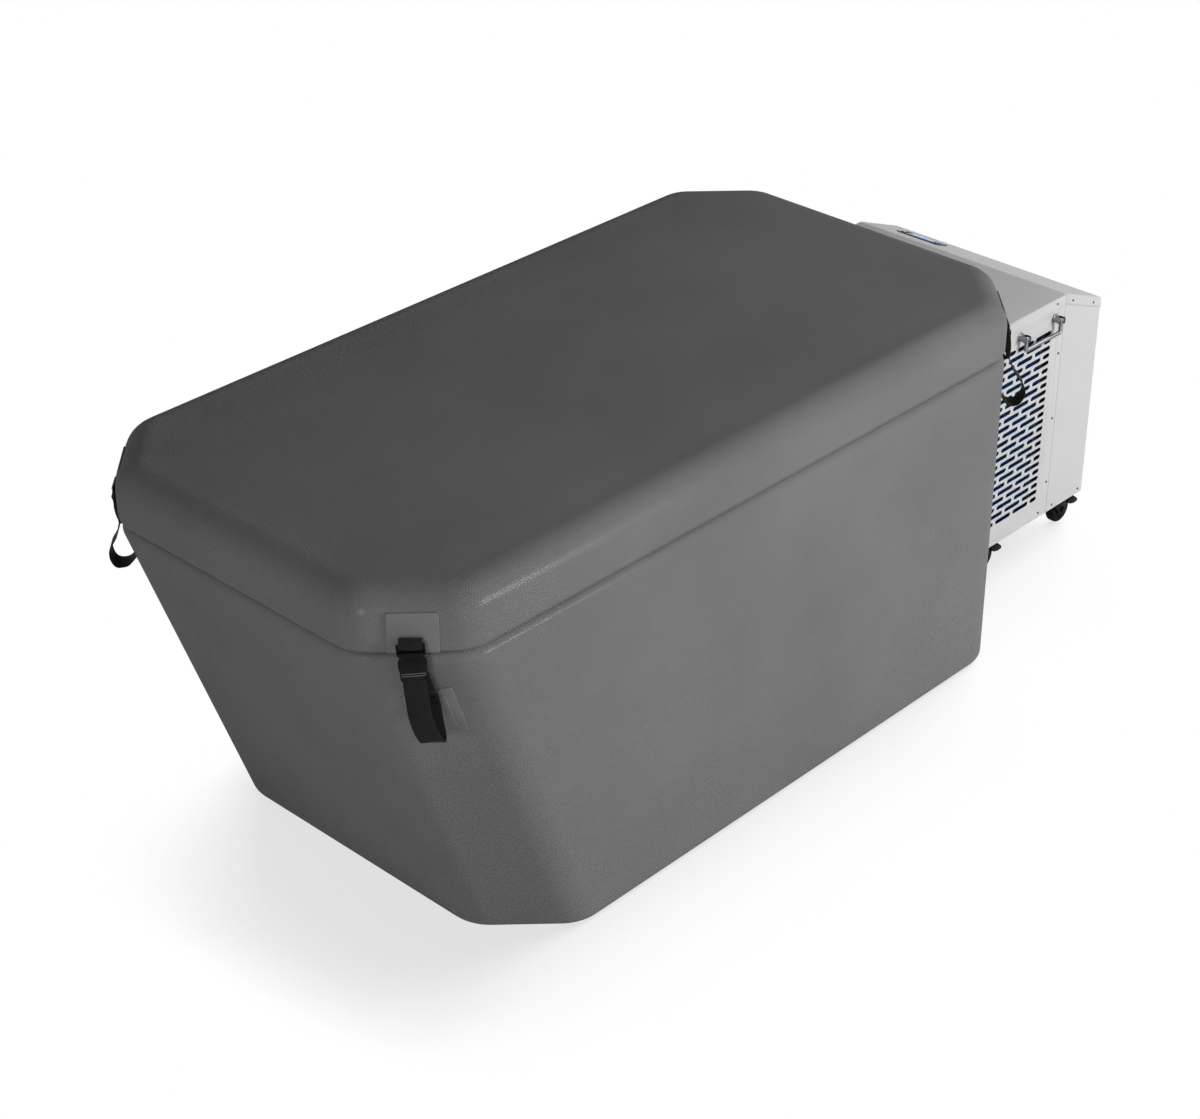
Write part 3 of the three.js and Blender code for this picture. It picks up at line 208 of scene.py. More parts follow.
def smoothPath(points):
    # Catmull-Rom curve through the points, by its four-point blend, resampled every 2 mm
    p = np.asarray(points, float)
    p = np.concatenate([2 * p[:1] - p[1:2], p, 2 * p[-1:] - p[-2:-1]])
    t = np.linspace(0, 1, 17)[:-1, None, None]
    a, b, c, d = p[:-3], p[1:-2], p[2:-1], p[3:]
    curve = 0.5 * (2 * b + (c - a) * t + (2 * a - 5 * b + 4 * c - d) * t ** 2
                   + (3 * b - a - 3 * c + d) * t ** 3)
    curve = np.concatenate([curve.transpose(1, 0, 2).reshape(-1, p.shape[1]), points[-1:]])
    return resampled(curve, 0.002)


def bentPath(points, radius, steps=6, closed=False):
    # straight lines through the points, each corner rounded by the quadratic curve of its two neighbours
    points = np.asarray(points, float)
    t = np.linspace(0, 1, steps + 1)[:, None]
    corners = list(zip(np.roll(points, 1, 0), points, np.roll(points, -1, 0)))
    out = []
    for a, b, c in corners if closed else corners[1:-1]:
        start, end = (b + unit(v - b) * min(radius, np.linalg.norm(v - b) * 0.4) for v in (a, c))
        out.append((1 - t) ** 2 * start + 2 * t * (1 - t) * b + t ** 2 * end)
    return np.concatenate(out if closed else [points[:1], *out, points[-1:]])


def revolved(profile, count=32, closed=False):
    # profile holds (distance along z, radius), from one flat end to the other or closed on itself
    z, radius = np.asarray(profile, float).T[:, :, None]
    x, y = circle(1, count).T
    return grid(np.stack(np.broadcast_arrays(x * radius, y * radius, z), -1), closed)


def insetBy(outline, amount):
    # moves each corner of an anticlockwise outline inwards along its mitre
    after = unit(np.roll(outline, -1, 0) - outline)
    n2 = np.stack([-after[:, 1], after[:, 0]], -1)
    n1 = np.roll(n2, 1, 0)
    return outline + amount * (n1 + n2) / (1 + (n1 * n2).sum(1, keepdims=True))


def prism(outline, low, high, edge=0.0006):
    # outline in x and y, thickness along z from low to high, both rims rounded by edge
    outline = np.asarray(outline, float)
    x, y = outline.T
    if (x * np.roll(y, -1) - np.roll(x, -1) * y).sum() < 0:
        outline = outline[::-1]
    half = edge * (1 - math.sqrt(0.5))
    rows = [(edge, low), (half, low + half), (0, low + edge), (0, high - edge), (half, high - half),
            (edge, high)]
    return grid(np.stack([np.concatenate([insetBy(outline, a), np.full((len(outline), 1), z)], 1)
                          for a, z in rows]))


def roundedBlock(low, high, edge=0.001):
    # block between two corners: the prism of a rounded rectangle
    low, high = np.asarray(low, float), np.asarray(high, float)
    width, height = (high - low)[:2]
    outline = roundedRect(width, height, min(edge * 1.5, width * 0.45, height * 0.45), 2)
    return prism(outline + (low[:2] + high[:2]) / 2, low[2], high[2], min(edge, (high[2] - low[2]) * 0.4))


def reworked(mesh, change=None):
    # makes a change to a mesh if there is one, then turns every face outwards
    work = bmesh.new()
    work.from_mesh(mesh)
    if change:
        change(work)
    bmesh.ops.recalc_face_normals(work, faces=work.faces)
    work.to_mesh(mesh)
    work.free()


def mergeDoubles(work):
    # points closer than a fiftieth of a millimetre become one
    bmesh.ops.remove_doubles(work, verts=work.verts, dist=0.00002)


def addPiece(name, shape, look, body, replaces=(), smooth=35, slot=None):
    # makes the mesh, ties it to its body and shades it smooth below an angle in degrees
    points, faces, uv = shape
    mesh = bpy.data.meshes.new(name)
    mesh.from_pydata((points + [tubX, 0, 0]).tolist(), [], faces)
    layer = mesh.uv_layers.new(name="UVMap")
    layer.data.foreach_set("uv", np.ascontiguousarray(uv, np.float32).ravel())
    reworked(mesh)
    mesh.shade_smooth()
    if smooth < 180:
        mesh.set_sharp_from_angle(angle=math.radians(smooth))
    mesh.materials.append(bpy.data.materials[look])
    item = linked(name, mesh)
    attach(item, body)
    slot = slot or looks[look][0]
    if replaces:
        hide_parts(*replaces)
    return item


# materials
def newMaterial(name, color, roughness, metallic=0.0, shine=0.5, glow=0.0):
    # shine is the shader's own specular level, low on dark matt things that stand in white surroundings
    material = bpy.data.materials.new(name)
    material.use_nodes = True
    shader = material.node_tree.nodes["Principled BSDF"]
    for key, value in (("Base Color", (*color, 1)), ("Roughness", roughness), ("Metallic", metallic),
                       ("Specular IOR Level", shine), ("Emission Strength", glow)):
        shader.inputs[key].default_value = value
    return material.node_tree, shader


def node(tree, kind, inputs=None, **settings):
    # a shader node with its settings, each input given a value or linked to a socket
    made = tree.nodes.new("ShaderNode" + kind)
    for key, value in settings.items():
        setattr(made, key, value)
    for key, value in (inputs or {}).items():
        if isinstance(value, bpy.types.NodeSocket):
            tree.links.new(value, made.inputs[key])
        else:
            made.inputs[key].default_value = value
    return made


def maths(tree, operation, a, b):
    # one number from two
    return node(tree, "Math", {0: a, 1: b}, operation=operation).outputs[0]


def vectors(tree, operation, *values):
    # one vector from others, or a vector's length
    made = node(tree, "VectorMath", dict(enumerate(values)), operation=operation)
    return made.outputs["Value" if operation == "LENGTH" else "Vector"]


def coordinates(tree, kind="Object"):
    # where on the piece a point lies
    return node(tree, "TexCoord").outputs[kind]


def noise(tree, scale, detail, stretch=(1, 1, 1)):
    # cloudy values on the piece's own coordinates, each times its stretch
    place = vectors(tree, "MULTIPLY", coordinates(tree), stretch)
    return node(tree, "TexNoise", {"Vector": place, "Scale": scale, "Detail": detail}).outputs["Fac"]


def stripes(tree, place, scale, way, **more):
    # waves that follow each other along one direction
    return node(tree, "TexWave", {"Vector": place, "Scale": scale, **more}, wave_type="BANDS",
                bands_direction=way).outputs["Fac"]


def ranged(tree, value, start, end, low, high, kind="LINEAR"):
    # value from start to end becomes low to high
    return node(tree, "MapRange", {"Value": value, "From Min": start, "From Max": end, "To Min": low,
                                   "To Max": high}, interpolation_type=kind).outputs["Result"]


def tinted(tree, shader, source, low, high, spread=(0.35, 0.65), socket="Base Color"):
    # colour between two tints, by a value from 0 to 1
    ramp = node(tree, "ValToRGB", {"Fac": source})
    for element, color, position in zip(ramp.color_ramp.elements, (low, high), spread):
        element.position, element.color = position, (*color, 1)
    tree.links.new(ramp.outputs["Color"], shader.inputs[socket])


def clouded(tree, shader, color, scale, detail, low, high):
    # base colour between low and high times a colour, in clouds
    tinted(tree, shader, noise(tree, scale, detail), np.multiply(color, low), np.multiply(color, high))


def bumped(tree, shader, height, strength, distance, **under):
    # tips the normal along the height's slope, from the normal under it
    bump = node(tree, "Bump", {"Height": height, "Strength": strength, "Distance": distance, **under})
    tree.links.new(bump.outputs["Normal"], shader.inputs["Normal"])


skinLook = {"color": (0.196, 0.197, 0.197), "roughness": 0.2, "metallic": 0.07,
            "dotPitch": 0.0042, "dotHeight": 0.0006}


def skinMaterial(name):
    # coated skin embossed with dots on a triangular lattice: the nearer of two offset square lattices
    look = skinLook
    tree, shader = newMaterial(name, look["color"], look["roughness"], look["metallic"], 0.0)
    tall = math.sqrt(3)
    scaled = vectors(tree, "MULTIPLY", coordinates(tree, "UV"),
                     (1 / look["dotPitch"], 1 / (look["dotPitch"] * tall), 0))
    reach = []
    for offset in (0.0, 0.5):
        cell = vectors(tree, "FRACTION", vectors(tree, "ADD", scaled, (offset, offset, 0)))
        centred = vectors(tree, "SUBTRACT", cell, (0.5, 0.5, 0))
        reach.append(vectors(tree, "LENGTH", vectors(tree, "MULTIPLY", centred, (1, tall, 0))))
    dots = ranged(tree, maths(tree, "MINIMUM", *reach), 0.12, 0.46, 1.0, 0.0, "SMOOTHSTEP")
    clouded(tree, shader, look["color"], 3.0, 5.0, 0.94, 1.06)
    soft = node(tree, "Bump", {"Height": noise(tree, 9.0, 2.0), "Strength": 0.12, "Distance": 0.004})
    bumped(tree, shader, dots, 0.9, look["dotHeight"], Normal=soft.outputs["Normal"])


def patchMaterial(name):
    # the same coated cloth, smooth where it is welded down
    tree, shader = newMaterial(name, (0.207, 0.208, 0.208), 0.5, skinLook["metallic"], 0.0)
    tinted(tree, shader, noise(tree, 18.0, 3.0), (0.198, 0.199, 0.199), (0.216, 0.217, 0.217))
    bumped(tree, shader, noise(tree, 900.0, 3.0), 0.15, 0.0002)


def webbingMaterial(name):
    # woven tape: ribs along the strap crossed by a finer weft, on the strip's own lengths
    tree, shader = newMaterial(name, (0.024, 0.0245, 0.025), 0.78, shine=0.04)
    shader.inputs["Sheen Weight"].default_value = 0.05
    shader.inputs["Sheen Roughness"].default_value = 0.4
    uv = coordinates(tree, "UV")
    weave = maths(tree, "MULTIPLY", stripes(tree, uv, 95.0, "Y"),
                  stripes(tree, uv, 160.0, "DIAGONAL", Distortion=0.6, Detail=1.0))
    tinted(tree, shader, weave, (0.015, 0.0155, 0.016), (0.04, 0.0405, 0.041), (0.1, 0.9))
    bumped(tree, shader, weave, 0.5, 0.0004)


def paintMaterial(name, color, roughness=0.42, shine=0.2):
    # powder coat: fine orange peel under a faint tint change
    tree, shader = newMaterial(name, color, roughness, shine=shine)
    clouded(tree, shader, color, 4.0, 4.0, 0.975, 1.02)
    bumped(tree, shader, noise(tree, 420.0, 2.0), 0.08, 0.0003)


def mouldedMaterial(name, color, roughness, bite=0.12, shine=0.12):
    # moulded plastic or rubber with a fine spark-eroded grain
    tree, shader = newMaterial(name, color, roughness, shine=shine)
    clouded(tree, shader, color, 40.0, 3.0, 0.85, 1.15)
    grain = node(tree, "TexVoronoi", {"Vector": coordinates(tree), "Scale": 1400.0})
    bumped(tree, shader, grain.outputs["Distance"], bite, 0.0003)


def metalMaterial(name, color, roughness, stretch=(1, 1, 1), edge=1.0):
    # metal with faint drawn or rolled streaks in its gloss; edge is its tint where it is seen aslant
    tree, shader = newMaterial(name, color, roughness, 1.0)
    shader.inputs["Specular Tint"].default_value = (edge, edge, edge, 1)
    gloss = ranged(tree, noise(tree, 60.0, 4.0, stretch), 0.3, 0.7, roughness * 0.8, roughness * 1.25)
    tree.links.new(gloss, shader.inputs["Roughness"])


def finMaterial(name):
    # blue coated fins, with fine louvres across them
    tree, shader = newMaterial(name, (0.02, 0.1, 0.4), 0.5, shine=0.1)
    tinted(tree, shader, stripes(tree, coordinates(tree), 120.0, "Z"), (0.008, 0.095, 0.3),
           (0.014, 0.16, 0.48), (0.2, 0.8))


def screenMaterial(name):
    # lit blue display with fine upright lines
    tree, shader = newMaterial(name, (0.004, 0.02, 0.09), 0.12, glow=0.8)
    tinted(tree, shader, stripes(tree, coordinates(tree, "UV"), 300.0, "X"), (0.006, 0.045, 0.22),
           (0.012, 0.07, 0.3), (0, 1), "Emission Color")


def digitMaterial(name):
    # pale blue, lit evenly
    tree, shader = newMaterial(name, (0.3, 0.6, 0.9), 0.3, glow=1.0)
    shader.inputs["Emission Color"].default_value = (0.12, 0.42, 0.95, 1)


# each look's slot, and how it is made
looks = {"embossedSkin": ("skin", skinMaterial),
         "weldedPatch": ("skin", patchMaterial),
         "blackWebbing": ("webbing", webbingMaterial),
         "buckleBlack": ("buckle", mouldedMaterial, (0.007, 0.0072, 0.0075), 0.36, 0.12, 0.06),
         # the plug's ribs: glossy, and a lighter grey than the black buckle as a painted highlight
         "buckleGloss": ("buckle", mouldedMaterial, (0.1, 0.101, 0.103), 0.3, 0.04, 0.5),
         "fittingGrey": ("fitting", mouldedMaterial, (0.026, 0.028, 0.03), 0.46),
         "cabinetPaint": ("cabinet", paintMaterial, (0.6, 0.603, 0.603)),
         "blackPaint": ("caster", paintMaterial, (0.005, 0.005, 0.005), 0.38, 0.04),
         "motorPaint": ("motor", paintMaterial, (0.016, 0.017, 0.018), 0.45, 0.12),
         "wheelRubber": ("wheel", mouldedMaterial, (0.008, 0.008, 0.0085), 0.6, 0.2, 0.03),
         "zincSheet": ("zinc", metalMaterial, (0.56, 0.58, 0.6), 0.36, (1, 0.15, 1)),
         "coilSteel": ("zinc", metalMaterial, (0.03, 0.05, 0.09), 0.5, (1, 1, 0.2)),
         "brightChrome": ("chrome", metalMaterial, (0.3, 0.305, 0.31), 0.14, (0.2, 1, 1), 0.1),
         "postMetal": ("chrome", metalMaterial, (0.26, 0.265, 0.27), 0.32),
         "screwSteel": ("chrome", metalMaterial, (0.03, 0.03, 0.031), 0.45, (1, 1, 1), 0.2),
         "coilFins": ("fins", finMaterial),
         "panelBlack": ("display", mouldedMaterial, (0.008, 0.009, 0.012), 0.2, 0.03),
         "keyGrey": ("button", mouldedMaterial, (0.045, 0.05, 0.06), 0.45),
         "blueScreen": ("display", screenMaterial),
         "digitLight": ("display", digitMaterial)}
for name, (slot, make, *look) in looks.items():
    make(name, *look)
print("materials made:", len(bpy.data.materials))

# tub and lid
tub = {"halfLength": 0.85, "halfWidth": 0.438, "cut": 0.14, "softness": 0.09, "rim": 0.69, "backrest": 0.241,
       "wall": 0.1, "rimRound": 0.022, "footRound": 0.018, "floor": 0.1, "floorRound": 0.012, "arcSteps": 10}
lid = {"bottom": 0.6903, "top": 0.8003, "topRound": 0.055, "footRound": 0.014, "crown": 0.003,
       "crownReach": 0.06}


def planRings(insets, shifts):
    # eight walls at their distances from the middle, joined by arcs that touch both neighbours;
    # returns x and y for each ring, and the wall that each column's face lies on
    insets, shifts = (np.asarray(v, float)[:, None] for v in (insets, shifts))
    reach = np.zeros((len(insets), 8))
    reach[:, [0]] = tub["halfLength"]
    reach[:, [2, 6]] = tub["halfWidth"]
    reach[:, 4:5] = tub["halfLength"] - shifts
    reach[:, 1::2] = (reach[:, 0::2] + np.roll(reach[:, 0::2], -1, 1) - tub["cut"]) / math.sqrt(2)
    radius = np.maximum(tub["softness"] - insets, tub["softness"] / 4)
    angle = np.arange(8) * math.pi / 4
    after = angle + math.pi / 4
    a = reach - insets - radius
    b = np.roll(reach, -1, 1) - insets - radius
    cx = (a * np.sin(after) - b * np.sin(angle)) / math.sin(math.pi / 4)
    cy = (b * np.cos(angle) - a * np.cos(after)) / math.sin(math.pi / 4)
    turn = angle[:, None] + np.linspace(0, math.pi / 4, tub["arcSteps"] + 1)
    x = cx[..., None] + radius[..., None] * np.cos(turn)
    y = cy[..., None] + radius[..., None] * np.sin(turn)
    part = np.array([0.015, 0.25, 0.5, 0.75, 0.985])  # points along each straight, two close to its ends
    x, y = (np.concatenate([v, v[..., -1:] + (np.roll(v[..., :1], -1, 1) - v[..., -1:]) * part], -1)
            for v in (x, y))
    half = tub["arcSteps"] // 2
    side = np.concatenate([[0] * half, [1] * (tub["arcSteps"] - half + len(part) + 1)])
    wall = (np.arange(8)[:, None] + side[None, :]) % 8
    return x.reshape(len(insets), -1), y.reshape(len(insets), -1), wall.ravel()


def skinOfRings(profile, shiftAt, closed, flatRows=0):
    # profile holds (inset, height); uv is each wall's own flat map, or the plan over the last flat rows
    profile = np.asarray(profile, float)
    x, y, wall = planRings(profile[:, 0], shiftAt(profile[:, 1]))
    points = np.stack([x, y, np.broadcast_to(profile[:, 1:], x.shape)], -1)
    rows, columns = x.shape
    length = np.concatenate([[0], np.cumsum(np.linalg.norm(np.diff(profile, axis=0), axis=1))])
    length = np.append(length, length[-1] + np.linalg.norm(profile[0] - profile[-1]))
    bands = rows if closed else rows - 1
    angle = wall * math.pi / 4
    tangent = np.stack([-np.sin(angle), np.cos(angle)], -1)
    uv = np.zeros((bands, columns, 4, 2))
    for k, (dr, dc) in enumerate([(0, 0), (0, 1), (1, 1), (1, 0)]):
        flat = np.roll(points, (-dr, -dc), (0, 1))[:bands, :, :2]
        uv[:, :, k, 0] = (flat * tangent).sum(-1)
        uv[:, :, k, 1] = length[np.arange(bands) + dr][:, None]
        if flatRows:
            uv[bands - flatRows:, :, k] = flat[bands - flatRows:]
    return grid(points, closed, uv)


def quarter(inset, height, radius, start, end, steps=7):
    # quarter circle about (inset, height), angles measured from straight out and up
    turn = np.radians(np.linspace(start, end, steps + 1))
    return [(inset - radius * math.cos(t), height + radius * math.sin(t)) for t in turn]


def between(a, b, parts=(0.03, 0.27, 0.5, 0.73, 0.97)):
    # points at these parts of the way from a to b
    return [(a[0] + (b[0] - a[0]) * t, a[1] + (b[1] - a[1]) * t) for t in parts]


def backrestShift(z):
    # the head wall leans in from the rim down to the floor
    return tub["backrest"] * (1 - np.minimum(z, tub["rim"]) / tub["rim"])


def tubSkin():
    # up the outside from the foot, over the rim, down the inside and back under the wall
    foot = quarter(tub["footRound"], tub["footRound"], tub["footRound"], -90, 0)
    rim = quarter(tub["rimRound"], tub["rim"] - tub["rimRound"], tub["rimRound"], 0, 90)
    wall = tub["wall"]
    inner = [(wall - inset, z) for inset, z in rim][::-1]
    profile = foot + between(foot[-1], rim[0]) + rim + between(rim[-1], inner[0]) + inner
    profile += between(inner[-1], (wall, 0)) + [(wall, 0)] + between((wall, 0), foot[0], (0.05, 0.95))
    return skinOfRings(profile, backrestShift, True)


def floorPad():
    # up the side, round a quarter circle and flat inwards over the top
    inset, rounding = tub["wall"] + 0.0003, tub["floorRound"]
    edge = [(inset + 0.02, 0.0005), (inset, 0.0005)]
    top = quarter(inset + rounding, tub["floor"] - rounding, rounding, 0, 90, 4)
    inner = [(inset + d, tub["floor"]) for d in (0.02, 0.06, 0.12)]
    return skinOfRings(edge + between(edge[-1], top[0], (0.05, 0.95)) + top + inner, backrestShift, False, 4)


def lidSkin():
    # the crown rises from the top's rounding as 1 - exp of minus the squared distance
    low, high, footRound, topRound = lid["bottom"], lid["top"], lid["footRound"], lid["topRound"]
    foot = quarter(footRound, low + footRound, footRound, -90, 0, 5)
    top = quarter(topRound, high - topRound, topRound, 0, 90, 14)
    crown = [(topRound + d, high + lid["crown"] * (1 - math.exp(-(d / lid["crownReach"]) ** 2)))
             for d in (0.004, 0.02, 0.04, 0.065, 0.095, 0.13)]
    under = [(0.12, low), (footRound + 0.004, low)]
    profile = under + foot + between(foot[-1], top[0], (0.06, 0.5, 0.94)) + top + crown
    return skinOfRings(profile, lambda z: z * 0, False, len(crown))


addPiece("tubSkin", tubSkin(), "embossedSkin", "tub", ["tub_wall"], 180)
addPiece("floorPad", floorPad(), "embossedSkin", "tub", ["tub_floor"], 60)
addPiece("lidSkin", lidSkin(), "embossedSkin", "lid", ["lid"], 180)
print("tub and lid skins made")

# corner fastenings: a pair of values is for the head end and the foot end
corner = {"webbing": 0.038, "thickness": 0.0018, "lidPatch": (0.084, 0.007, 0.078), "lidPatchShift": 0.004,
          "patchThickness": 0.003, "tubPatch": (0.084, 0.105), "tubPatchTop": 0.078, "innerMargin": 0.015,
          "patchOuter": (-0.0006, 0.0022), "patchInner": (0.0016, 0.0042), "buckleOut": 0.0113,
          "buckleWidth": 0.046, "buckleDepth": 0.013, "femaleTop": 0.017, "femaleFoot": -0.022,
          "barHeight": 0.0218, "maleFoot": -0.0403, "strapReach": (0.036, 0.056), "wallGap": 0.0045,
          "strapDrop": (0.109, 0.104), "tilt": 0.065, "swing": (-0.08, 0.08), "bar": 0.0022, "play": 0.0003,
          "plugThinner": 0.0012, "plugGap": 0.0004}
stitch = {"radius": 0.0005, "length": 0.0036, "box": (0.03, 0.018), "below": 0.022}
cornerList = [("head_right", -1, -1), ("head_left", -1, 1), ("foot_right", 1, -1), ("foot_left", 1, 1)]


def cornerAxes(end, side):
    # local x along the cut corner, y outwards, z up, from the middle of the cut at the rim
    angle = math.atan2(side, end)
    c, s = math.cos(angle), math.sin(angle)
    origin = np.array([end * (tub["halfLength"] - tub["cut"] / 2), side * (tub["halfWidth"] - tub["cut"] / 2),
                       tub["rim"]])
    return origin, np.array([(s, -c, 0), (c, s, 0), (0, 0, 1)])


def lidPatch():
    # strip that follows the lid's side up over the start of its rounding
    width, low, high = corner["lidPatch"]
    z = np.linspace(low, high, 40)
    rise = np.clip(z - (lid["top"] - lid["topRound"] - tub["rim"]), 0, None)
    y = -(lid["topRound"] - np.sqrt(lid["topRound"] ** 2 - rise ** 2)) + corner["patchThickness"] / 2 - 0.0002
    return band(np.stack([z * 0, y, z], -1), width, corner["patchThickness"], 0.006)


def lidLoop():
    # out of the weld under the patch, over the fold, down round the bar and back up
    out, away = corner["buckleOut"], corner["thickness"] / 2 + corner["play"]
    inner = corner["patchThickness"] + away
    outer = out + corner["bar"] + away
    low = corner["barHeight"] - corner["bar"] - away
    top = low + 0.0195
    path = [(0, inner + 0.0003, top - 0.006), (0, inner + 0.0012, top - 0.0008), (0, inner + 0.0048, top),
            (0, outer - 0.0035, top - 0.0032), (0, outer - 0.0008, top - 0.009), (0, outer, low + 0.006),
            (0, outer - 0.0012, low + 0.0012), (0, out, low), (0, inner + 0.0012, low + 0.0012),
            (0, inner, low + 0.006), (0, inner, top - 0.011)]
    hem = [(0, outer - 0.0022, top - 0.004), (0, outer + 0.0004, top - 0.0075),
           (0, outer + 0.0012, top - 0.0095)]
    return joined(band(smoothPath(path), corner["webbing"], corner["thickness"]),
                  band(hem, corner["webbing"] - 0.0004, 0.0011, 0.002))


def stitchRow(start, end, outward):
    # short threads in a line: each is a half sine wave that starts and ends in the cloth
    count = max(3, int(np.linalg.norm(end - start) / stitch["length"]))
    step = (end - start) / count
    across = np.cross(unit(step), outward)
    t = np.linspace(0, 1, 5)[:, None]
    arch = step * 0.76 * t + outward * (0.0003 * np.sin(t * math.pi) - 0.0002)
    return [sweep(start + step * (k + 0.12) + arch, across, circle(stitch["radius"], 6))
            for k in range(count)]


def boxStitch(centre, right, up, outward):
    # a rectangle of stitches with its two diagonals
    width, height = stitch["box"]
    c = [centre + right * sx * width / 2 + up * sy * height / 2
         for sx, sy in ((-1, -1), (1, -1), (1, 1), (-1, 1))]
    return joined(*(row for a, b in ((0, 1), (1, 2), (2, 3), (3, 0), (0, 2), (1, 3))
                    for row in stitchRow(c[a], c[b], outward)))


def buckleFemale():
    # waisted socket with a raised pad and rib, and two lugs that hold the loop's bar
    out, depth, bar = corner["buckleOut"], corner["buckleDepth"] / 2, corner["barHeight"]
    top, foot, half = corner["femaleTop"], corner["femaleFoot"], corner["buckleWidth"] / 2
    front = out + depth
    outline = [(-half, top), (-half, top - 0.0045), (-half + 0.004, top - 0.0085),
               (-half + 0.004, top - 0.015), (-half, top - 0.0215), (-half + 0.0002, top - 0.031),
               (-half + 0.0015, foot)]
    outline += [(-x, z) for x, z in outline[::-1]]
    pad = roundedRect(0.027, 0.02, 0.004) + [0, (top + foot) / 2 - 0.002]
    rib = roundedBlock((-half + 0.003, top - 0.002, front - 0.001),
                       (half - 0.003, top - 0.0002, front + 0.0008), 0.0006)
    lugs = [roundedBlock((x - 0.0017, top - 0.002, out - 0.003),
                         (x + 0.0017, bar + 0.008, out + 0.003), 0.0008)
            for x in (-0.0213, 0.0213)]
    return joined(upright(joined(prism(outline, out - depth, front, 0.0016),
                                 prism(pad, front - 0.001, front + 0.0009, 0.0008), rib)),
                  rod((0, out, bar), (0.0205, 0, 0), (0, 1, 0), circle(0.0021, 16)), upright(joined(*lugs)))


def buckleMale():
    # head against the socket, side rails and two ladder bars, with the prongs up inside the socket
    out, depth = corner["buckleOut"], corner["buckleDepth"] / 2 - corner["plugThinner"]
    top, foot = corner["femaleFoot"] - corner["plugGap"], corner["maleFoot"]
    half = corner["buckleWidth"] / 2 - 0.001
    head = roundedBlock((-half, top - 0.0045, out - depth), (half, top, out + depth), 0.0012)
    rails, arms = [], []
    for s in (-1, 1):
        rail = [(s * half, top - 0.002), (s * half, foot + 0.004), (s * (half - 0.0015), foot),
                (s * 0.0195, foot), (s * 0.0195, top - 0.002)]
        rails.append(prism(rail, out - depth * 0.8, out + depth * 0.8, 0.0008))
        arm = mm((16.8, -1), (19.5, 6), (21.2, 12), (21.2, 24), (17.5, 27.5), (16.5, 25),
                 (16.5, 10), (14, -1))
        arms.append(prism(arm * [s, 1] + [0, top], out - 0.0032, out + 0.0032, 0.0008))
    bars = [rod((0, out + forward, z), (0.0202, 0, 0), (0, 1, 0), roundedRect(0.0036, 0.003, 0.0012))
            for z, forward in ((foot + 0.0022, 0.0022), (foot + 0.0078, -0.0005))]
    return joined(upright(joined(head, *rails)), *bars, upright(joined(*arms)))


def buckleRibs():
    # two ribs across the front of the plug, just below the socket, glossy and a lighter grey than the buckle
    # as a painted highlight
    front = corner["buckleOut"] + corner["buckleDepth"] / 2 - corner["plugThinner"]
    top, half = corner["femaleFoot"] - corner["plugGap"], corner["buckleWidth"] / 2 - 0.003
    return upright(joined(*(roundedBlock((-half, z - 0.0009, front - 0.001),
                                         (half, z + 0.0009, front + 0.0012), 0.0006)
                            for z in (top - 0.0016, top - 0.006))))


def strapPath(end, side):
    # down from the ladder in front to a crease, round at the bottom, and up the wall to the ladder's back
    run = tub["backrest"] / tub["rim"] / math.sqrt(2) if end < 0 else 0.0
    slip, recede = side * run, -run
    foot, reach, drop = corner["maleFoot"], corner["strapReach"][end > 0], corner["strapDrop"][end > 0]
    out = corner["buckleOut"] + corner["swing"][end > 0] * (corner["barHeight"] - foot)
    low = foot - drop
    tail = -corner["tubPatchTop"] - corner["tubPatch"][1] / 4

    def wallAt(z):
        # how far out the strap's middle lies on the patch at this height
        return -recede * z + corner["wallGap"] + corner["thickness"] / 2

    points = [(out - 0.0022, foot + 0.013), (out + 0.0005, foot + 0.0112), (out + 0.0032, foot + 0.0075),
              (out + 0.0026, foot + 0.0048), (out + 0.003, foot + 0.0012), (out + 0.005, foot - 0.006),
              (out * 0.58 + reach * 0.42, low + drop * 0.7), (reach * 0.9, low + drop * 0.46),
              (reach, low + drop * 0.31), (reach * 0.975, low + drop * 0.17),
              (reach * 0.84, low + drop * 0.05), (reach * 0.62 + wallAt(low) * 0.03, low),
              (reach * 0.38 + wallAt(low) * 0.2, low + 0.004),
              (reach * 0.12 + wallAt(low) * 0.42, low + 0.024), (wallAt(tail - 0.004) + 0.001, tail - 0.004),
              (wallAt(tail + 0.006), tail + 0.006), (wallAt(tail + 0.022), tail + 0.022),
              (out * 0.2 + wallAt(tail + 0.038) * 0.5, tail + 0.038), (out - 0.0062, foot + 0.001),
              (out - 0.005, foot + 0.006)]
    curve = smoothPath([(0, y, z) for y, z in points])
    # the front strand leans less than the back one, which follows the middle of the patch
    part = np.clip(np.arange(len(curve)) / len(curve) * 2.4 - 1.0, 0, 1)
    above = curve[:, 2] - foot
    below = np.minimum(above, 0)
    front = 0.6 * below + 0.55 * below ** 2 / -drop
    middle = curve[:, 2] + 0.012 * np.exp(-(above / 0.03) ** 2)
    curve[:, 0] = slip * -(front * (1 - part) + middle * part)
    # and near the buckle both follow its tilt
    lean = math.copysign(corner["tilt"], -slip) if slip else 0.0
    curve[:, 0] -= lean * 0.062 * np.clip(1 - np.abs(above) / 0.05, 0, 1) * (1 - part * 0.4)
    return curve, slip, recede


def patchAxes(slip, recede):
    # the tub patch's middle, and its directions across, out of the wall and up along it
    up, out = unit(np.array([-slip, -recede, 1.0])), unit(np.array([0, 1.0, recede]))
    middle = -corner["tubPatchTop"] - corner["tubPatch"][1] / 2
    return np.array([-slip * middle, -recede * middle, middle]), np.stack([np.cross(out, up), out, up])


def tubPatch(axes, margin, low, high):
    # the patch less a margin all round, from low to high off the wall
    width, height = corner["tubPatch"]
    outline = roundedRect(width - 2 * margin, height - 2 * margin, 0.004, 4)
    return placed(upright(prism(outline, low, high, min(0.0008, (high - low) * 0.45))), *axes)


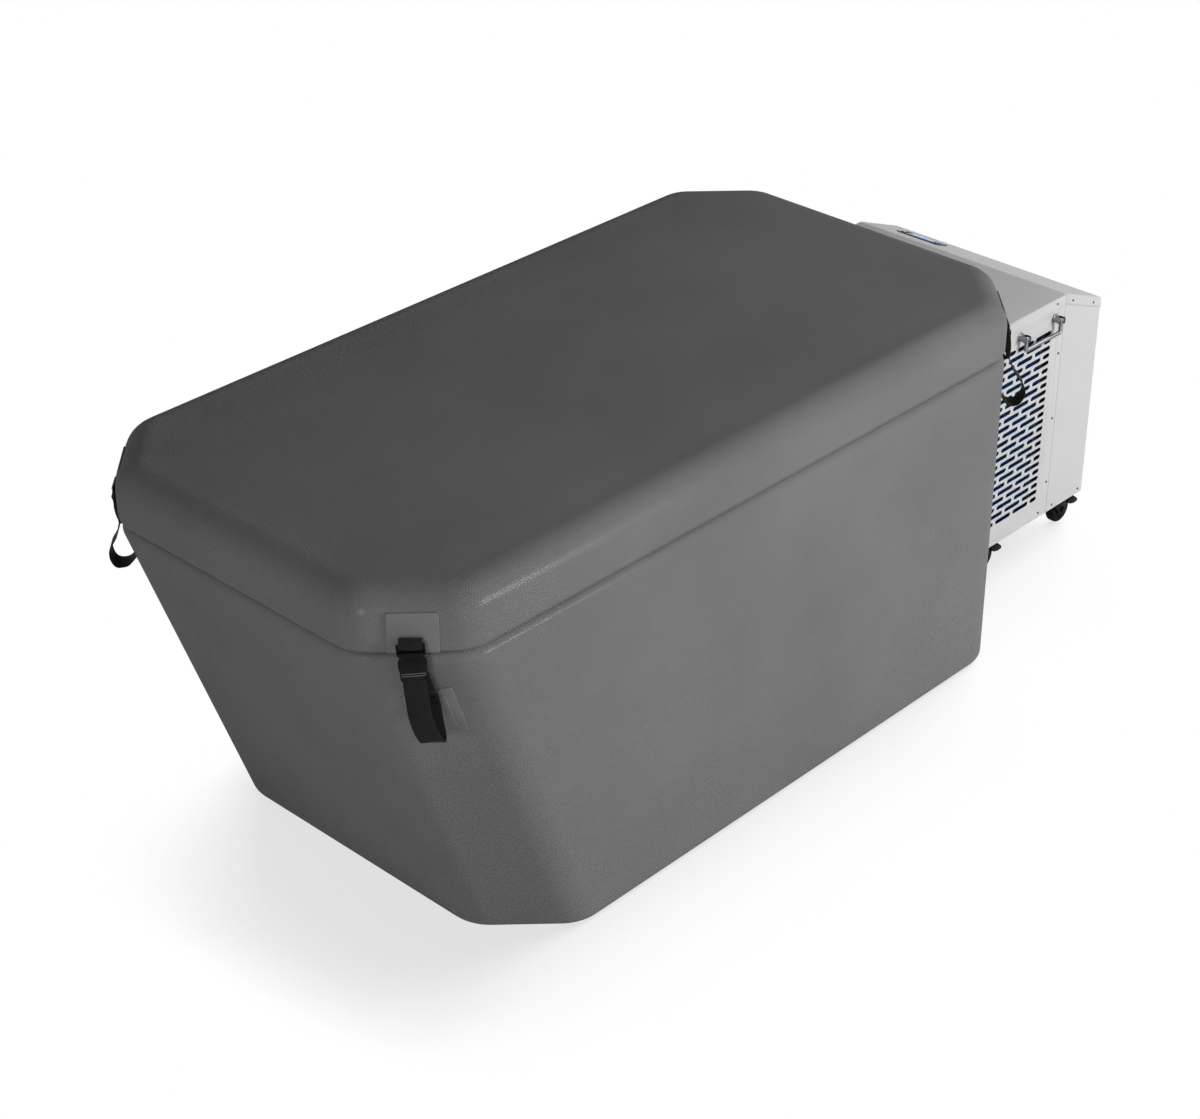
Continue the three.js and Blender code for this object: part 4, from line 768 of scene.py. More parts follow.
def buckleTurn(end, side):
    # sideways where the strap pulls along the sloping corner, and in or out with the wall
    c, s = (f(side * corner["tilt"]) if end < 0 else f(0) for f in (math.cos, math.sin))
    sideways = np.array([(c, 0, s), (0, 1, 0), (-s, 0, c)])
    c, s = (f(corner["swing"][end > 0]) for f in (math.cos, math.sin))
    return sideways @ np.array([(1, 0, 0), (0, c, s), (0, -s, c)])


def addFastening(name, end, side):
    # the buckle turns about the loop's bar
    axes = cornerAxes(end, side)
    pivot, turn = np.array([0, 0, corner["barHeight"]]), buckleTurn(end, side)
    curve, slip, recede = strapPath(end, side)
    patch = patchAxes(slip, recede)
    across, out, up = patch[1]
    back = curve[math.ceil(len(curve) * 0.6):]  # the strand on the wall
    spot = back[np.argmin(np.abs(back[:, 2] + corner["tubPatchTop"] + stitch["below"]))]
    shift = side * corner["lidPatchShift"] if end < 0 else 0.0
    for part, shape, turned, look, body, replaced, smooth in (
            ("lidPatch", placed(lidPatch(), (shift, 0, 0)), False, "weldedPatch", "lid", None, 35),
            ("lidLoop", lidLoop(), False, "blackWebbing", "lid", "lid_loop", 60),
            ("buckleSocket", buckleFemale(), True, "buckleBlack", "lid", "buckle_female", 35),
            ("bucklePlug", buckleMale(), True, "buckleBlack", "tub", "buckle_male", 35),
            # the ribs carry a painted highlight: a lighter grey than the rest of the buckle
            ("buckleRibs", buckleRibs(), True, "buckleGloss", "tub", None, 35),
            ("tubPatch", joined(tubPatch(patch, 0, *corner["patchOuter"]),
                                tubPatch(patch, corner["innerMargin"], *corner["patchInner"])),
             False, "weldedPatch", "tub", None, 35),
            ("strap", band(curve, corner["webbing"], corner["thickness"]), False, "blackWebbing", "tub",
             "strap", 60),
            ("strapStitches", boxStitch(spot + out * 0.0009, across, up, out), False, "blackWebbing",
             "tub", None, 35)):
        if turned:
            shape = placed(placed(shape, -pivot), pivot, turn)
        addPiece(f"{part}_{name}", placed(shape, *axes), look, body,
                 [f"{replaced}_{name}"] if replaced else [], smooth)


for name, end, side in cornerList:
    addFastening(name, end, side)
print("corner fastenings made")

# air valves and water fittings, on the foot end wall
toEnd = [(0, 1, 0), (0, 0, 1), (1, 0, 0)]  # a turned piece's z becomes the wall's outward x
fittings = {"valveSide": 0.25, "tubValve": 0.62, "waterSide": -0.12, "suction": 0.18, "return": 0.54,
            "drain": (0.2, 0.14)}


def valveBody():
    # turned sleeve with a rim against the wall
    return revolved(mm((-26, 13.5), (0.4, 14), (0.4, 18.5), (1.2, 19), (2.2, 19), (3, 18), (3, 10), (2, 9.2),
                       (-24, 9)), 48, True)


def valveCap():
    # domed cover with a grip bar across it and teeth round its rim
    cover = revolved(mm((-3.7, 8), (3.3, 8), (3.4, 15.2), (4.2, 15.8), (5, 15.4), (5.4, 14), (5.4, 2)), 48)
    grip = prism(roundedRect(0.004, 0.0265, 0.0018), 0.005, 0.0103, 0.001)
    tooth = roundedBlock(*mm((-1, -0.8, 3.6), (0.8, 0.8, 5)), 0.0003)
    return joined(cover, grip, *ringed(tooth, 24, 0.0155))


def wallFitting(nose, nut=False):
    # inner flange, barrel through the wall, outer flange, a lock nut and a nose
    end = 4.3 + nose
    barrel = revolved(mm((-104.3, 20), (-104, 25), (-103, 26), (-100.6, 26), (-100.3, 15.5), (0.3, 15.5),
                         (0.3, 25.5), (1.2, 26), (3.2, 26), (4.3, 25), (4.4, 12), (end - 1, 12),
                         (end, 11.2)), 40)
    return joined(barrel, prism(circle(0.0205, 6), 0.004, 0.01, 0.001)) if nut else barrel


def drainCap():
    # cup with a rolled inner rim, ribbed for the fingers
    shell = revolved(mm((14, 0.5), (14, 12), (13.2, 12.3), (4.9, 12.3), (4.9, 15.5), (5.6, 16.3),
                        (15.6, 16.3), (16.6, 15), (16.8, 1)), 40)
    rib = roundedBlock(*mm((15.8, -1, 6.2), (17.2, 1, 15.2)), 0.0005)
    return joined(shell, *ringed(rib, 18))


lidValve = (lid["bottom"] + lid["footRound"] + lid["top"] - lid["topRound"]) / 2
drainSide, drainHeight = fittings["drain"]
for name, shape, side, height, body, replaced in (
        ("tubAirValve", valveBody(), fittings["valveSide"], fittings["tubValve"], "tub", "tub_air_valve"),
        ("tubValveCap", valveCap(), fittings["valveSide"], fittings["tubValve"], "tub_valve_cap",
         "tub_valve_cap"),
        ("lidAirValve", valveBody(), fittings["valveSide"], lidValve, "lid", "lid_air_valve"),
        ("lidValveCap", valveCap(), fittings["valveSide"], lidValve, "lid_valve_cap", "lid_valve_cap"),
        ("suctionFitting", wallFitting(16, True), fittings["waterSide"], fittings["suction"], "tub",
         "suction_fitting"),
        ("returnFitting", wallFitting(16, True), fittings["waterSide"], fittings["return"], "tub",
         "return_fitting"),
        ("drainSpout", wallFitting(8.4), drainSide, drainHeight, "tub", "drain_fitting"),
        ("drainCap", drainCap(), drainSide, drainHeight, "drain_cap", "drain_cap")):
    addPiece(name, placed(shape, (tub["halfLength"], side, height), toEnd), "fittingGrey", body,
             [replaced])
print("valves and fittings made")

# chiller cabinet
cabinet = {"front": 0.89, "rear": 1.29, "side": 0.272, "bottom": 0.098, "top": 0.621, "ridge": 1.154,
           "facetDrop": 0.054, "sheet": 0.002, "skirt": 0.023, "seam": 0.0003, "roofBend": 0.0035,
           "rearBend": 0.004}
inlet = {"y": (-0.2023, -0.1577), "z": (0.1567, 0.1833)}  # opening in the rear panel for the mains socket
grille = {"slot": 0.054, "height": 0.01, "sheet": 0.001, "pitch": 0.0622, "rowPitch": 0.0172, "rows": 24,
          "perRow": 3, "lowest": 0.0547, "margin": 0.043, "edge": 0.0003}
handle = {"span": 0.121, "middle": 1.058, "height": 0.578, "post": 0.009, "reach": 0.022, "pin": 0.016,
          "drop": 0.027, "rod": 0.0042, "slot": 0.0049}
slope = cabinet["facetDrop"] / (cabinet["rear"] - cabinet["ridge"])
tilt = math.atan(slope)
facetAxes = np.array([(math.cos(tilt), 0, -math.sin(tilt)), (0, 1, 0), (math.sin(tilt), 0, math.cos(tilt))])


def steadied(line):
    # adds a point close to each end of the long straights, so that shading stays flat on them
    out = [line[:1]]
    for a, b in zip(line[:-1], line[1:]):
        if np.linalg.norm(b - a) > 0.03:
            out.append(a + (b - a) * np.array([[0.01], [0.5], [0.99]]))
        out.append(b[None])
    return np.concatenate(out)


def topCover():
    # sheet bent along the roof, the facet and the rear lip, with a skirt plate down each side
    c, half = cabinet, cabinet["sheet"] / 2
    facetFoot = c["top"] - c["facetDrop"]
    foot = facetFoot - c["skirt"]
    line = bentPath([(c["front"], 0, c["top"] - half), (c["ridge"], 0, c["top"] - half),
                     (c["rear"] - half, 0, facetFoot - half * 0.6), (c["rear"] - half, 0, foot)],
                    c["roofBend"])
    sheet = sweep(steadied(line), (0, 1, 0), roundedRect(2 * c["side"] - 0.0002, c["sheet"], 0.0006))
    skirt = [(c["ridge"], c["top"] - 0.0012), (c["ridge"], c["top"] - c["skirt"]), (c["rear"] - 0.0002, foot),
             (c["rear"] - 0.0002, facetFoot - 0.0012)]
    inner, outer = c["side"] - c["sheet"] + 0.0001, c["side"] + 0.0002
    return joined(sheet, *(upright(prism(skirt, low, high, 0.0004)) for low, high in ((-outer, -inner),
                                                                                     (inner, outer))))


def rearPanel():
    # U-shaped wrap: a path round the rear, its top edge cut along the cover's slope, its rims chamfered by e
    c, t, e = cabinet, cabinet["sheet"], 0.0004
    front = c["ridge"] + c["seam"]
    wrap = [(front, -c["side"]), (c["rear"], -c["side"]), (c["rear"], c["side"]), (front, c["side"])]
    outer = steadied(bentPath(wrap, c["rearBend"], 5))
    outer = np.insert(outer, np.searchsorted(outer[:, 1], inlet["y"]),
                      [(c["rear"], y) for y in inlet["y"]], 0)
    ahead = unit(np.gradient(outer, axis=0))
    inwards = np.stack([-ahead[:, 1], ahead[:, 0]], -1)
    top = c["top"] - c["skirt"] - slope * (outer[:, 0] - c["ridge"]) - 0.0005
    low, sill, head = (np.full(len(outer), z) for z in (c["bottom"], *inlet["z"]))
    section = [(0, low + e), (0, sill), (0, head), (0, top - e), (e, top), (t - e, top), (t, top - e),
               (t, head), (t, sill), (t, low + e), (t - e, low), (e, low)]
    return grid(np.stack([np.concatenate([outer + inwards * d, z[:, None]], 1) for d, z in section], 1))


def openInlet(work):
    # takes out the faces within the inlet's opening, outside and inside, and joins the two rims
    mergeDoubles(work)
    middles = [(face, face.calc_center_median()) for face in work.faces]
    inside = [face for face, m in middles if m.x > cabinet["rear"] - 0.01 + tubX
              and inlet["y"][0] < m.y < inlet["y"][1] and inlet["z"][0] < m.z < inlet["z"][1]]
    bmesh.ops.delete(work, geom=inside, context="FACES")
    rim = [e for e in work.edges if e.is_boundary]
    bmesh.ops.bridge_loops(work, edges=rim)
    for edge in rim:
        edge.smooth = False


def slotOutline(start, end, z, radius, steps=7):
    # oblong with round ends
    turn = np.linspace(-math.pi / 2, math.pi / 2, steps + 1)
    x, y = radius * np.cos(turn), radius * np.sin(turn)
    return np.concatenate([np.stack([end - radius + x, z + y], -1),
                           np.stack([start + radius - x, z - y], -1)])


def grilleOutlines():
    # the panel's edge, every slot of the staggered rows, cut short at both sides, and the handle's two holes
    c, g = cabinet, grille
    rear = c["ridge"] - c["seam"]
    last = rear - g["margin"]
    first = last - (g["perRow"] - 1) * g["pitch"] - g["slot"]
    roof = c["top"] - c["sheet"] - c["seam"]
    outlines = [np.array([(c["front"], c["bottom"]), (rear, c["bottom"]), (rear, roof), (c["front"], roof)])]
    for row in range(g["rows"]):
        z = c["bottom"] + g["lowest"] + row * g["rowPitch"]
        start = first - (g["pitch"] / 2 if row % 2 == 0 else 0)
        while start < last:
            a, b = max(start, first), min(start + g["slot"], last)
            if b - a > g["height"]:
                outlines.append(slotOutline(a, b, z, g["height"] / 2))
            start += g["pitch"]
    return outlines + [circle(handle["post"] + 0.0003) + [handle["middle"] + s * handle["span"] / 2,
                                                         handle["height"]] for s in (-1, 1)]


def grillePanel(side):
    # a filled flat curve with a hole for each slot and post, extruded and edged, then made a mesh
    edge = grille["edge"]
    curve = bpy.data.curves.new("grilleOutline", "CURVE")
    curve.dimensions, curve.fill_mode = "2D", "BOTH"
    curve.extrude, curve.bevel_depth, curve.bevel_resolution = grille["sheet"] / 2 - edge, edge, 1
    curve.offset = -edge
    for outline in grilleOutlines():
        spline = curve.splines.new("POLY")
        spline.points.add(len(outline) - 1)
        spline.points.foreach_set("co", (np.pad(outline, ((0, 0), (0, 2))) + [0, 0, 0, 1]).ravel())
        spline.use_cyclic_u = True
    holder = linked("grilleOutline", curve)
    bpy.context.view_layer.update()
    made = bpy.data.meshes.new_from_object(holder.evaluated_get(bpy.context.evaluated_depsgraph_get()))
    bpy.data.objects.remove(holder)
    bpy.data.curves.remove(curve)
    points = np.array([v.co for v in made.vertices])
    faces = [list(p.vertices) for p in made.polygons]
    bpy.data.meshes.remove(made)
    y = side * (cabinet["side"] - grille["sheet"] / 2)
    return placed(upright((points, faces, points[np.concatenate(faces)][:, :2])), (0, y, 0))


addPiece("topCover", topCover(), "cabinetPaint", "chiller", ["top_cover"])
rear = addPiece("rearPanel", rearPanel(), "cabinetPaint", "chiller", ["rear_panel"])
reworked(rear.data, openInlet)
for name, side in (("right", -1), ("left", 1)):
    panel = addPiece(f"grillePanel_{name}", grillePanel(side), "cabinetPaint", "chiller",
                     [f"grille_panel_{name}"])
    reworked(panel.data, mergeDoubles)
print("cabinet panels made")

screw = {"depth": 0.0011, "radius": 0.0026, "count": 16}
screwSpots = mm((1124.6, 608), (1181, 597), (1261, 565), (1144, 487.5), (1144, 333.6), (1145, 178.5),
                (1124, 110), (1174.7, 109.6), (1272, 109.4), (902, 608), (902, 110), (902, 360))


def screwHead():
    # domed head with a cross recess, set as four low wedges round a sunken middle
    depth, radius, count = screw["depth"], screw["radius"], screw["count"]
    rings = np.array([(radius, -0.0004), (radius, depth * 0.35), (radius * 0.85, depth * 0.8),
                      (radius * 0.55, depth), (radius * 0.25, depth)])
    z = np.repeat(rings[:, 1:], count, 1)
    z[-1] = np.where(np.arange(count) % 4 == 0, depth * 0.25, depth * 0.85)
    x, y = circle(1, count).T
    return grid(np.stack([rings[:, :1] * x, rings[:, :1] * y, z], -1))


screws = [placed(screwHead(), (x, side * cabinet["side"], z), [(1, 0, 0), (0, 0, 1), (0, side, 0)])
          for side in (-1, 1) for x, z in screwSpots]
screws += [placed(screwHead(), (cabinet["rear"], y, z), toEnd) for y in (-0.255, 0.255)
           for z in (0.112, 0.32, 0.51)]
addPiece("cabinetScrews", joined(*screws), "screwSteel", "chiller")

# control panel on the facet
panel = {"length": 0.11, "width": 0.046, "proud": 0.002, "side": 0.154, "screen": (0.03, 0.07),
         "button": 0.012, "relief": 0.0003}
digitSize = 0.016
facetMiddle = np.array([(cabinet["ridge"] + cabinet["rear"]) / 2, panel["side"],
                        cabinet["top"] - cabinet["facetDrop"] / 2])


def digit(segments, y):
    # seven bars of one size; segments names those that are lit, from the top clockwise and the middle
    size = digitSize
    w, bar = size * 0.5, size * 0.11
    spots = {"a": (0, size / 2), "b": (w / 2, size / 4), "c": (w / 2, -size / 4), "d": (0, -size / 2),
             "e": (-w / 2, -size / 4), "f": (-w / 2, size / 4), "g": (0, 0)}
    shapes = []
    for s in segments:
        across, up = (w * 0.8, bar) if s in "adg" else (bar, size * 0.4)
        rectangle = np.array([(-across, -up), (across, -up), (across, up), (-across, up)])
        outline = rectangle / 2 + spots[s] + [y, 0]
        # read from the rear: the digit's right is +y and its top is up the facet
        shapes.append(placed(prism(outline, 0, 0.0003, 0.0001), axes=[(0, 1, 0), (-1, 0, 0), (0, 0, 1)]))
    return shapes


def keyCap(x, y, mark):
    # square key with a rounded edge and a low mark on it
    top = panel["proud"] + 0.0012
    cap = prism(roundedRect(panel["button"], panel["button"], 0.002) + [x, y], top - 0.0072, top, 0.0008)
    if mark == "power":
        ring = revolved(mm((0, 3), (0.3, 3), (0.3, 2.3), (0, 2.3)), 24, True)
        return cap, placed(ring, (x, y, top - 0.0001))
    way = 1 if mark == "up" else -1
    arrow = np.array([(x - way * 0.0022, y), (x + way * 0.0018, y - 0.0026), (x + way * 0.0018, y + 0.0026)])
    return cap, prism(arrow, top - 0.0001, top + 0.0002, 0.0001)


def addOnFacet(name, shape, *rest, **more):
    # adds a piece that is drawn from the middle of the facet, with z straight out of it
    addPiece(name, placed(shape, facetMiddle, facetAxes), *rest, **more)


screenTop = panel["proud"] + panel["relief"]
addOnFacet("displayFrame", prism(roundedRect(panel["width"], panel["length"], 0.004, 4), panel["relief"],
                                 panel["proud"], 0.0007), "panelBlack", "chiller", ["display_panel"])
addOnFacet("displayScreen", prism(roundedRect(*panel["screen"], 0.0015), 0.0015, screenTop, 0.0002),
           "blueScreen", "chiller")
digits = digit("bc", -0.021) + digit("abged", -0.008) + digit("abcdef", 0.012)
addOnFacet("screenDigits", placed(joined(*digits), (0, 0.002, screenTop)), "digitLight", "chiller")
for name, x, y in (("up", -0.01, 0.042), ("down", 0.01, 0.042), ("power", 0, -0.042)):
    cap, sign = keyCap(x, y, name)
    addOnFacet(f"keyCap_{name}", cap, "keyGrey", f"button_{name}", [f"button_{name}"])
    addOnFacet(f"keyMark_{name}", sign, "digitLight", f"button_{name}", slot="button")
print("control panel made")


# drop handles
def handlePosts():
    # round feet with two cheeks each and a pin between them, on a backing strip
    post, reach = handle["post"], handle["reach"]
    foot = revolved(mm((0.1, 7), (0.1, 9.2), (1.2, 9.6), (2.4, 9.4), (3, 8.2), (9.5, 8), (10, 8.2)))
    reachRound = math.acos(handle["slot"] / post)  # half the angle that the bail's slot leaves to a cheek
    turn = np.linspace(-reachRound, reachRound, 13)
    shapes = []
    for x in (-handle["span"] / 2, handle["span"] / 2):
        cheeks = [prism(post * np.stack([s * np.cos(turn), np.sin(turn)], -1) + [x, 0], 0.0096, reach, 0.001)
                  for s in (-1, 1)]
        pin = rod((x, 0, handle["pin"]), (0.0065, 0, 0), (0, 1, 0), circle(0.002, 16))
        shapes += [placed(foot, (x, 0, 0)), *cheeks, pin]
    return joined(*shapes, prism(roundedRect(handle["span"] + 0.018, 0.018, 0.004), -0.0053, -0.0023, 0.0006))


def handleBail():
    # bent rod that hangs from an eye on each pin
    half, drop, pin = handle["span"] / 2, handle["drop"], handle["pin"]
    eye = revolved(mm((-4.2, 2.4), (-4.2, 4.7), (-3.7, 5.2), (3.7, 5.2), (4.2, 4.7), (4.2, 2.4)), 28, True)
    line = [(-half, 0.0035, pin), (-half, drop, pin), (half, drop, pin), (half, 0.0035, pin)]
    return joined(*(placed(eye, (x, 0, pin), [(0, 1, 0), (0, 0, 1), (1, 0, 0)]) for x in (-half, half)),
                  sweep(steadied(bentPath(line, 0.006, 8)), (0, 0, 1), circle(handle["rod"], 20)))


for name, side in (("right", -1), ("left", 1)):
    base = (handle["middle"], side * cabinet["side"], handle["height"])
    addPiece(f"handlePosts_{name}", placed(handlePosts(), base, [(1, 0, 0), (0, 0, -side), (0, side, 0)]),
             "postMetal", "chiller", [f"handle_mount_{name}"])
    addPiece(f"handleBail_{name}", placed(handleBail(), base, [(1, 0, 0), (0, 0, -1), (0, side, 0)]),
             "brightChrome", f"handle_bail_{name}", [f"handle_bail_{name}"])
print("handles made")

# casters
caster = {"wheel": 0.0315, "width": 0.022, "trail": 0.027, "cheek": 0.0125, "crown": 0.082,
          "pivot": (0.034, 0.072), "ribs": 6}
casterList = [("rear_right", 1.262, -0.214), ("rear_left", 1.262, 0.214), ("front_right", 0.976, -0.214),
              ("front_left", 0.976, 0.214)]


def casterWheel():
    # rounded tread, recessed web and a raised hub: half of the profile, and the same mirrored
    half = [caster["width"] / 2, 0] + mm((-0.5, 4.6), (0, 5.5), (0, 9.5), (-0.8, 10.2), (-3.5, 11),
                                         (-4, 18.5), (-0.8, 20.5), (-0.4, 21.5), (-0.2, 26), (-1.2, 29),
                                         (-3.5, 30.9), (-6, 31.5))
    return upright(revolved(np.concatenate([half, half[::-1] * [-1, 1]]), 48, True))


def casterFork():
    # swivel head of two raceways with a ball gap, on its kingpin; bridge and two cheeks; axle and pedal pin
    t, crown, wheel, trail = caster["cheek"], caster["crown"], caster["wheel"], caster["trail"]
    swivel = revolved([crown, 0] + mm((-1, 18), (1, 22.5), (4.5, 24), (5.5, 23.2), (6.2, 21.5), (6.8, 21.5),
                                      (7.8, 23.8), (12, 24), (12.7, 22.5)), 40)
    kingpin = revolved([(crown, 0.006), (0.104, 0.006)], 20)
    nut = prism(circle(0.0095, 6), 0.1003, 0.105, 0.0008)
    outline = [(-0.022, crown + 0.003), (-0.022, crown - 0.008), (-0.017, crown - 0.016), (0.01, 0.034),
               (0.018, 0.0225), (0.027, 0.0205), (0.036, 0.0225), (0.04, 0.03), (0.0405, 0.06),
               (0.041, crown + 0.003)]
    outline = bentPath(outline, 0.004, 3, True)
    cheeks = [upright(prism(outline, a, b, 0.0008)) for a, b in ((t, t + 0.003), (-t - 0.003, -t))]
    bridge = prism(roundedRect(0.061, 2 * t + 0.0058, 0.004) + [0.009, 0], crown - 0.0004,
                   crown + 0.0035, 0.0008)
    axle = rod((trail, 0, wheel), (0, t + 0.0055, 0), (1, 0, 0), circle(0.004, 20))
    heads = [placed(prism(circle(0.0075, 6), 0, 0.0035, 0.0007), (trail, s * (t + 0.003), wheel),
                    [(1, 0, 0), (0, 0, 1), (0, s, 0)]) for s in (-1, 1)]
    x, z = caster["pivot"]
    pin = rod((x, 0, z), (0, t + 0.004, 0), (1, 0, 0), circle(0.002, 14))
    return joined(swivel, kingpin, nut, bridge, axle, pin, *cheeks, *heads)


def casterPedal():
    # arm from the pivot, a ribbed tread and two side wings
    px, pz = caster["pivot"]
    start, tip, low = 0.043, 0.082, 0.033
    top = [(start, pz - 0.005), (px + 0.02, pz - 0.011), (tip - 0.003, low + 0.009), (tip, low + 0.004),
           (tip - 0.001, low)]
    tread = top + [(px + 0.031, low), (px + 0.026, pz - 0.026), (px + 0.017, pz - 0.017), (start, pz - 0.012)]
    wing = top + [(px + 0.034, low - 0.001), (px + 0.02, low + 0.003), (start, low + 0.01)]
    arm = [(px - 0.004, pz + 0.005), (px + 0.005, pz + 0.004), (start + 0.004, pz - 0.007),
           (start + 0.004, pz - 0.015), (px - 0.001, pz - 0.0055), (px - 0.005, pz - 0.001)]
    shapes = [upright(prism(bentPath(outline, 0.002, 3, True), a, b, 0.0009)) for outline, a, b in (
        (arm, -0.0118, 0.0118), (tread, -0.0165, 0.0165), (wing, -0.017, -0.013), (wing, 0.013, 0.017))]
    start, end = (np.array([x, 0, z]) for x, z in top[1:3])
    down = unit(end - start)
    rib = roundedBlock(*mm((-0.9, -13, -0.6), (0.9, 13, 0.9)), 0.0004)
    shapes += [placed(rib, start + (end - start) * (k + 0.6) / (caster["ribs"] + 0.4),
                      [down, (0, 1, 0), (-down[2], 0, down[0])]) for k in range(caster["ribs"])]
    return joined(*shapes)


for name, x, y in casterList:
    for part, shape, origin, look in (
            ("Fork", casterFork(), (x, y, 0), "blackPaint"),
            ("Wheel", casterWheel(), (x + caster["trail"], y, caster["wheel"]), "wheelRubber"),
            ("Pedal", casterPedal(), (x, y, 0), "blackPaint")):
        body = f"{part.lower()}_{name}"
        addPiece(f"caster{part}_{name}", placed(shape, origin), look, body, [f"caster_{body}"])
print("casters made")

# inside the cabinet
coilLook = {"fins": 84, "fin": 0.00015, "tubes": 16, "tube": 0.0045, "flange": 0.042, "short": 0.006}
fan = {"blades": 7, "root": 0.022, "tip": 0.0815, "sweep": 5.0, "chord": 0.36, "rise": 0.0072,
       "sheet": 0.0012}


def coil():
    # thin upright fins between two end plates, with tubes through them, and a dark flange that closes the
    # space between the coil's end and the cabinet's rear
    low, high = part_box("condenser_coil")
    x0, x1, y0, y1 = low.x - tubX, high.x - tubX - coilLook["short"], low.y, high.y
    w = coilLook["fin"]
    fins = [grid(np.array([[(x - w, y0 + 0.001, z), (x + w, y0 + 0.001, z), (x + w, y1 - 0.001, z),
                            (x - w, y1 - 0.001, z)] for z in (low.z + 0.003, high.z - 0.003)]))
            for x in np.linspace(x0 + 0.004, x1 - 0.004, coilLook["fins"])]
    ends = [roundedBlock((x, y0, low.z), (x + 0.0015, y1, high.z), 0.0003) for x in (x0, x1 - 0.0015)]
    heights = np.linspace(low.z + 0.02, high.z - 0.02, coilLook["tubes"])
    tubes = [sweep([(x, (y0 + y1) / 2, z) for x in (x0 - 0.001, (x0 + x1) / 2, x1 + 0.002)], (0, 1, 0),
                   circle(coilLook["tube"], 12)) for z in heights]
    flange = roundedBlock((x1 - 0.001, y0 + 0.0015, low.z),
                          (x1 + coilLook["flange"], y0 + 0.003, high.z), 0.0003)
    return joined(*fins), joined(*ends, *tubes, flange)


def fanBlades():
    # swept blades between the hub and the tip: the angle grows with the radius, the lift with the chord
    low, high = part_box("cooling_fan")
    x, y, z = (low + high) / 2
    hub = revolved(mm((-9, 18), (-8.5, 22.5), (-6, 24), (8.5, 24), (9, 22.5)), 36)
    radius = np.linspace(fan["root"], fan["tip"], 9)[:, None]
    part = np.linspace(-1, 1, 9)[None, :]
    angle = (radius - fan["root"]) * fan["sweep"] + part * (fan["chord"] - 0.1 * (radius / fan["tip"]))
    lift = part * fan["rise"] - 0.002 * (1 - part ** 2) + fan["sheet"] / 2 + 0 * radius
    top = np.stack([radius * np.cos(angle), radius * np.sin(angle), lift], -1)
    blade = grid(np.concatenate([top, (top - [0, 0, fan["sheet"]])[:, ::-1]], 1))
    return placed(upright(joined(hub, *ringed(blade, fan["blades"]))), (x - tubX, y, z))


fins, coilMetal = coil()
addPiece("coilFins", fins, "coilFins", "chiller", ["condenser_coil"])
addPiece("coilTubes", coilMetal, "coilSteel", "chiller")
addPiece("fanBlades", fanBlades(), "motorPaint", "fan", ["cooling_fan"])
for name, look in (("base_pan", "zincSheet"), ("fan_shroud", "coilSteel"), ("tub_side_panel", "cabinetPaint"),
                   ("compressor", "motorPaint"), ("water_pump", "motorPaint"), ("port_block", "fittingGrey"),
                   ("power_inlet", "fittingGrey")):
    nodes[name].data.materials.clear()
    nodes[name].data.materials.append(bpy.data.materials[look])
print("inner parts made")

# floor and light
light = {"horizon": 0.25, "zenith": 0.0, "fade": (0.1, 0.8)}
# each lamp's place, target, width and height, and power
lamps = {"keyLamp": ((1.6, -4.6, 2.0), (0.0, 0, 0.45), (1.7, 1.2), 165),
         "frontLamp": ((-4.4, -1.7, 2.0), (-0.8, -0.1, 0.45), (0.9, 0.7), 40),
         "topLamp": ((3.4, -0.4, 2.9), (0.8, 0, 0.6), (2.2, 2.2), 37)}
# the floor's painted shadow, in what the camera sees: two leaning views of the sky, each with its direction,
# reach and the share of open sky that it calls dark and clear; the clearer of the two is used
floorShade = {"size": 14, "depth": -0.0005, "darkest": 0.745,
              "views": (((0.6, 0.75, 0.2), 0.4, 0.625, 0.88), ((0.83, -0.47, 0.3), 0.4, 0.695, 0.95))}


def paintedShadowView(tree, way, reach, dark, clear):
    # painted shadow: brightness from the share of sky that is open about a leaning direction, within reach
    lean = node(tree, "CombineXYZ", dict(enumerate(way)))
    sky = node(tree, "AmbientOcclusion", {"Distance": reach, "Normal": lean.outputs[0]}, samples=16)
    return ranged(tree, sky.outputs["AO"], dark, clear, floorShade["darkest"], 1.0)


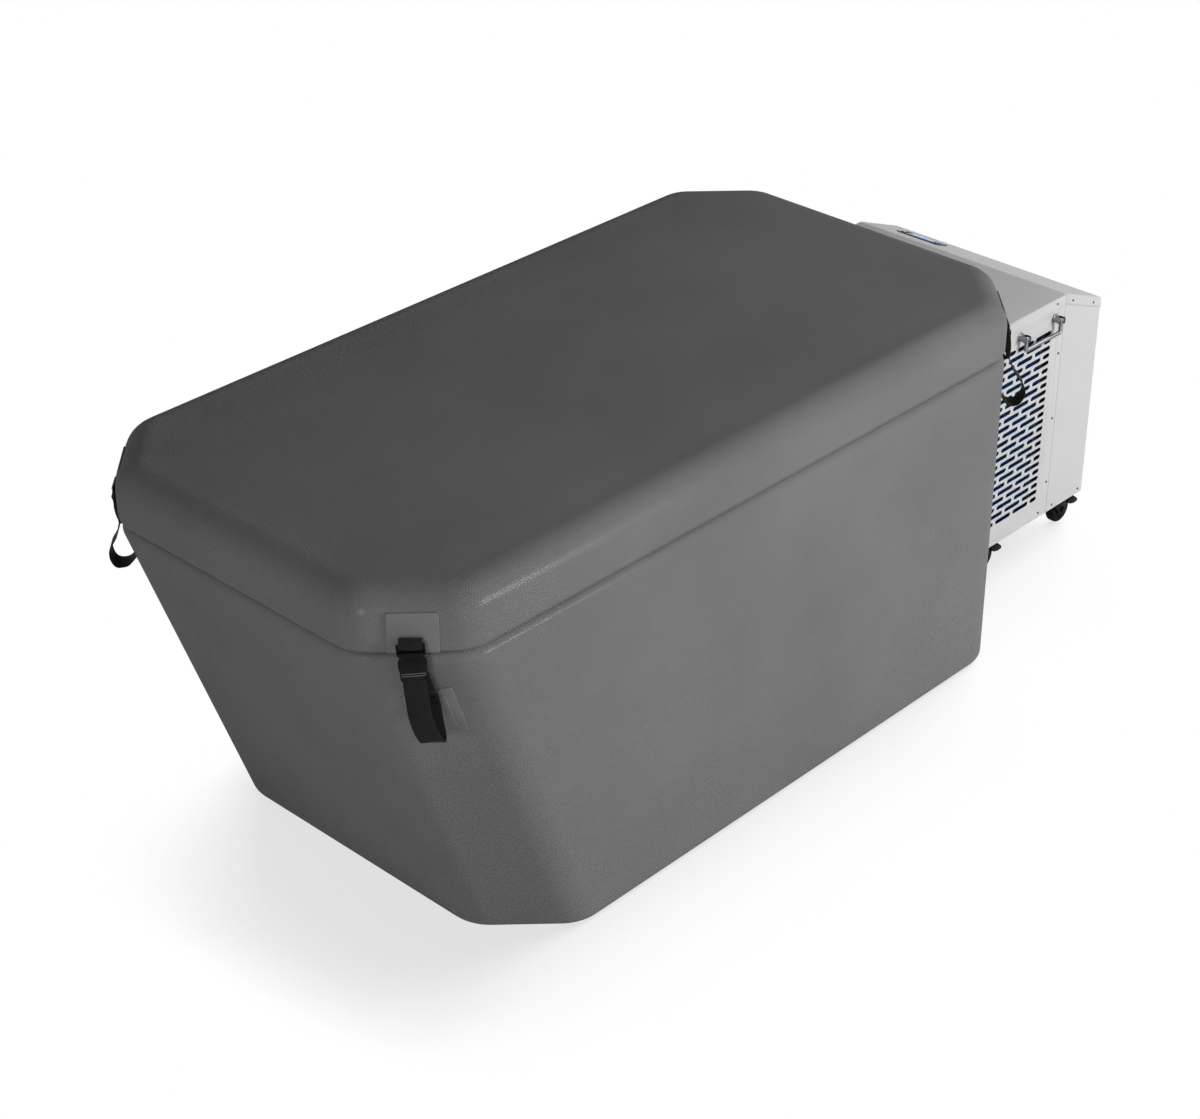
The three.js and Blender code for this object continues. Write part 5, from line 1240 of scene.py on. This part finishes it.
def seenAs(tree, output, lit, looked):
    # lit for rays that carry light, looked for rays from the camera, a reflection or a clear part
    path = node(tree, "LightPath").outputs
    mirrored = maths(tree, "MAXIMUM", path["Is Glossy Ray"], path["Is Transmission Ray"])
    seen = maths(tree, "MAXIMUM", path["Is Camera Ray"], mirrored)
    mix = node(tree, "MixShader", {0: seen, 1: lit.outputs[0], 2: looked.outputs[0]})
    tree.links.new(mix.outputs[0], tree.nodes[output].inputs["Surface"])


def makeFloor():
    # what is looked at is white, with a painted shadow where the object shuts out the sky above the floor
    mesh = bpy.data.meshes.new("floor")
    size, depth = floorShade["size"], floorShade["depth"]
    mesh.from_pydata([(x * size, y * size, depth) for x, y in ((-1, -1), (1, -1), (1, 1), (-1, 1))], [],
                     [(0, 1, 2, 3)])
    tree, shader = newMaterial("studioFloor", (0.8, 0.8, 0.8), 0.9, shine=0.0)
    # the painted shadow, as the strength of the white glow
    white = maths(tree, "MAXIMUM", *(paintedShadowView(tree, *view) for view in floorShade["views"]))
    glow = node(tree, "Emission", {"Color": (1, 1, 1, 1), "Strength": white})
    seenAs(tree, "Material Output", shader, glow)
    mesh.materials.append(bpy.data.materials["studioFloor"])
    floor = linked("floor", mesh)


def makeWorld():
    # white to look at; for light, a soft wall round the horizon that fades towards the zenith
    world = bpy.data.worlds.new("studio")
    bpy.context.scene.world = world
    world.use_nodes = True
    tree = world.node_tree
    way = node(tree, "SeparateXYZ", {0: coordinates(tree, "Generated")})
    ground = tree.nodes["Background"]
    ground.inputs["Color"].default_value = (1, 1, 1, 1)
    glow = ranged(tree, way.outputs["Z"], *light["fade"], light["horizon"], light["zenith"], "SMOOTHSTEP")
    tree.links.new(glow, ground.inputs["Strength"])
    seenAs(tree, "World Output", ground, node(tree, "Background", {"Color": (1, 1, 1, 1), "Strength": 1.0}))


def softLamp(name, place, target, size, power):
    # rectangular area lamp, turned to face its target
    data = bpy.data.lights.new(name, "AREA")
    data.shape, data.size, data.size_y, data.energy = "RECTANGLE", *size, power
    aimed(linked(name, data), place, np.subtract(target, place))


makeFloor()
makeWorld()
for name, setting in lamps.items():
    softLamp(name, *setting)
bpy.context.scene.view_settings.view_transform = "Standard"
print("stage and lamps made")
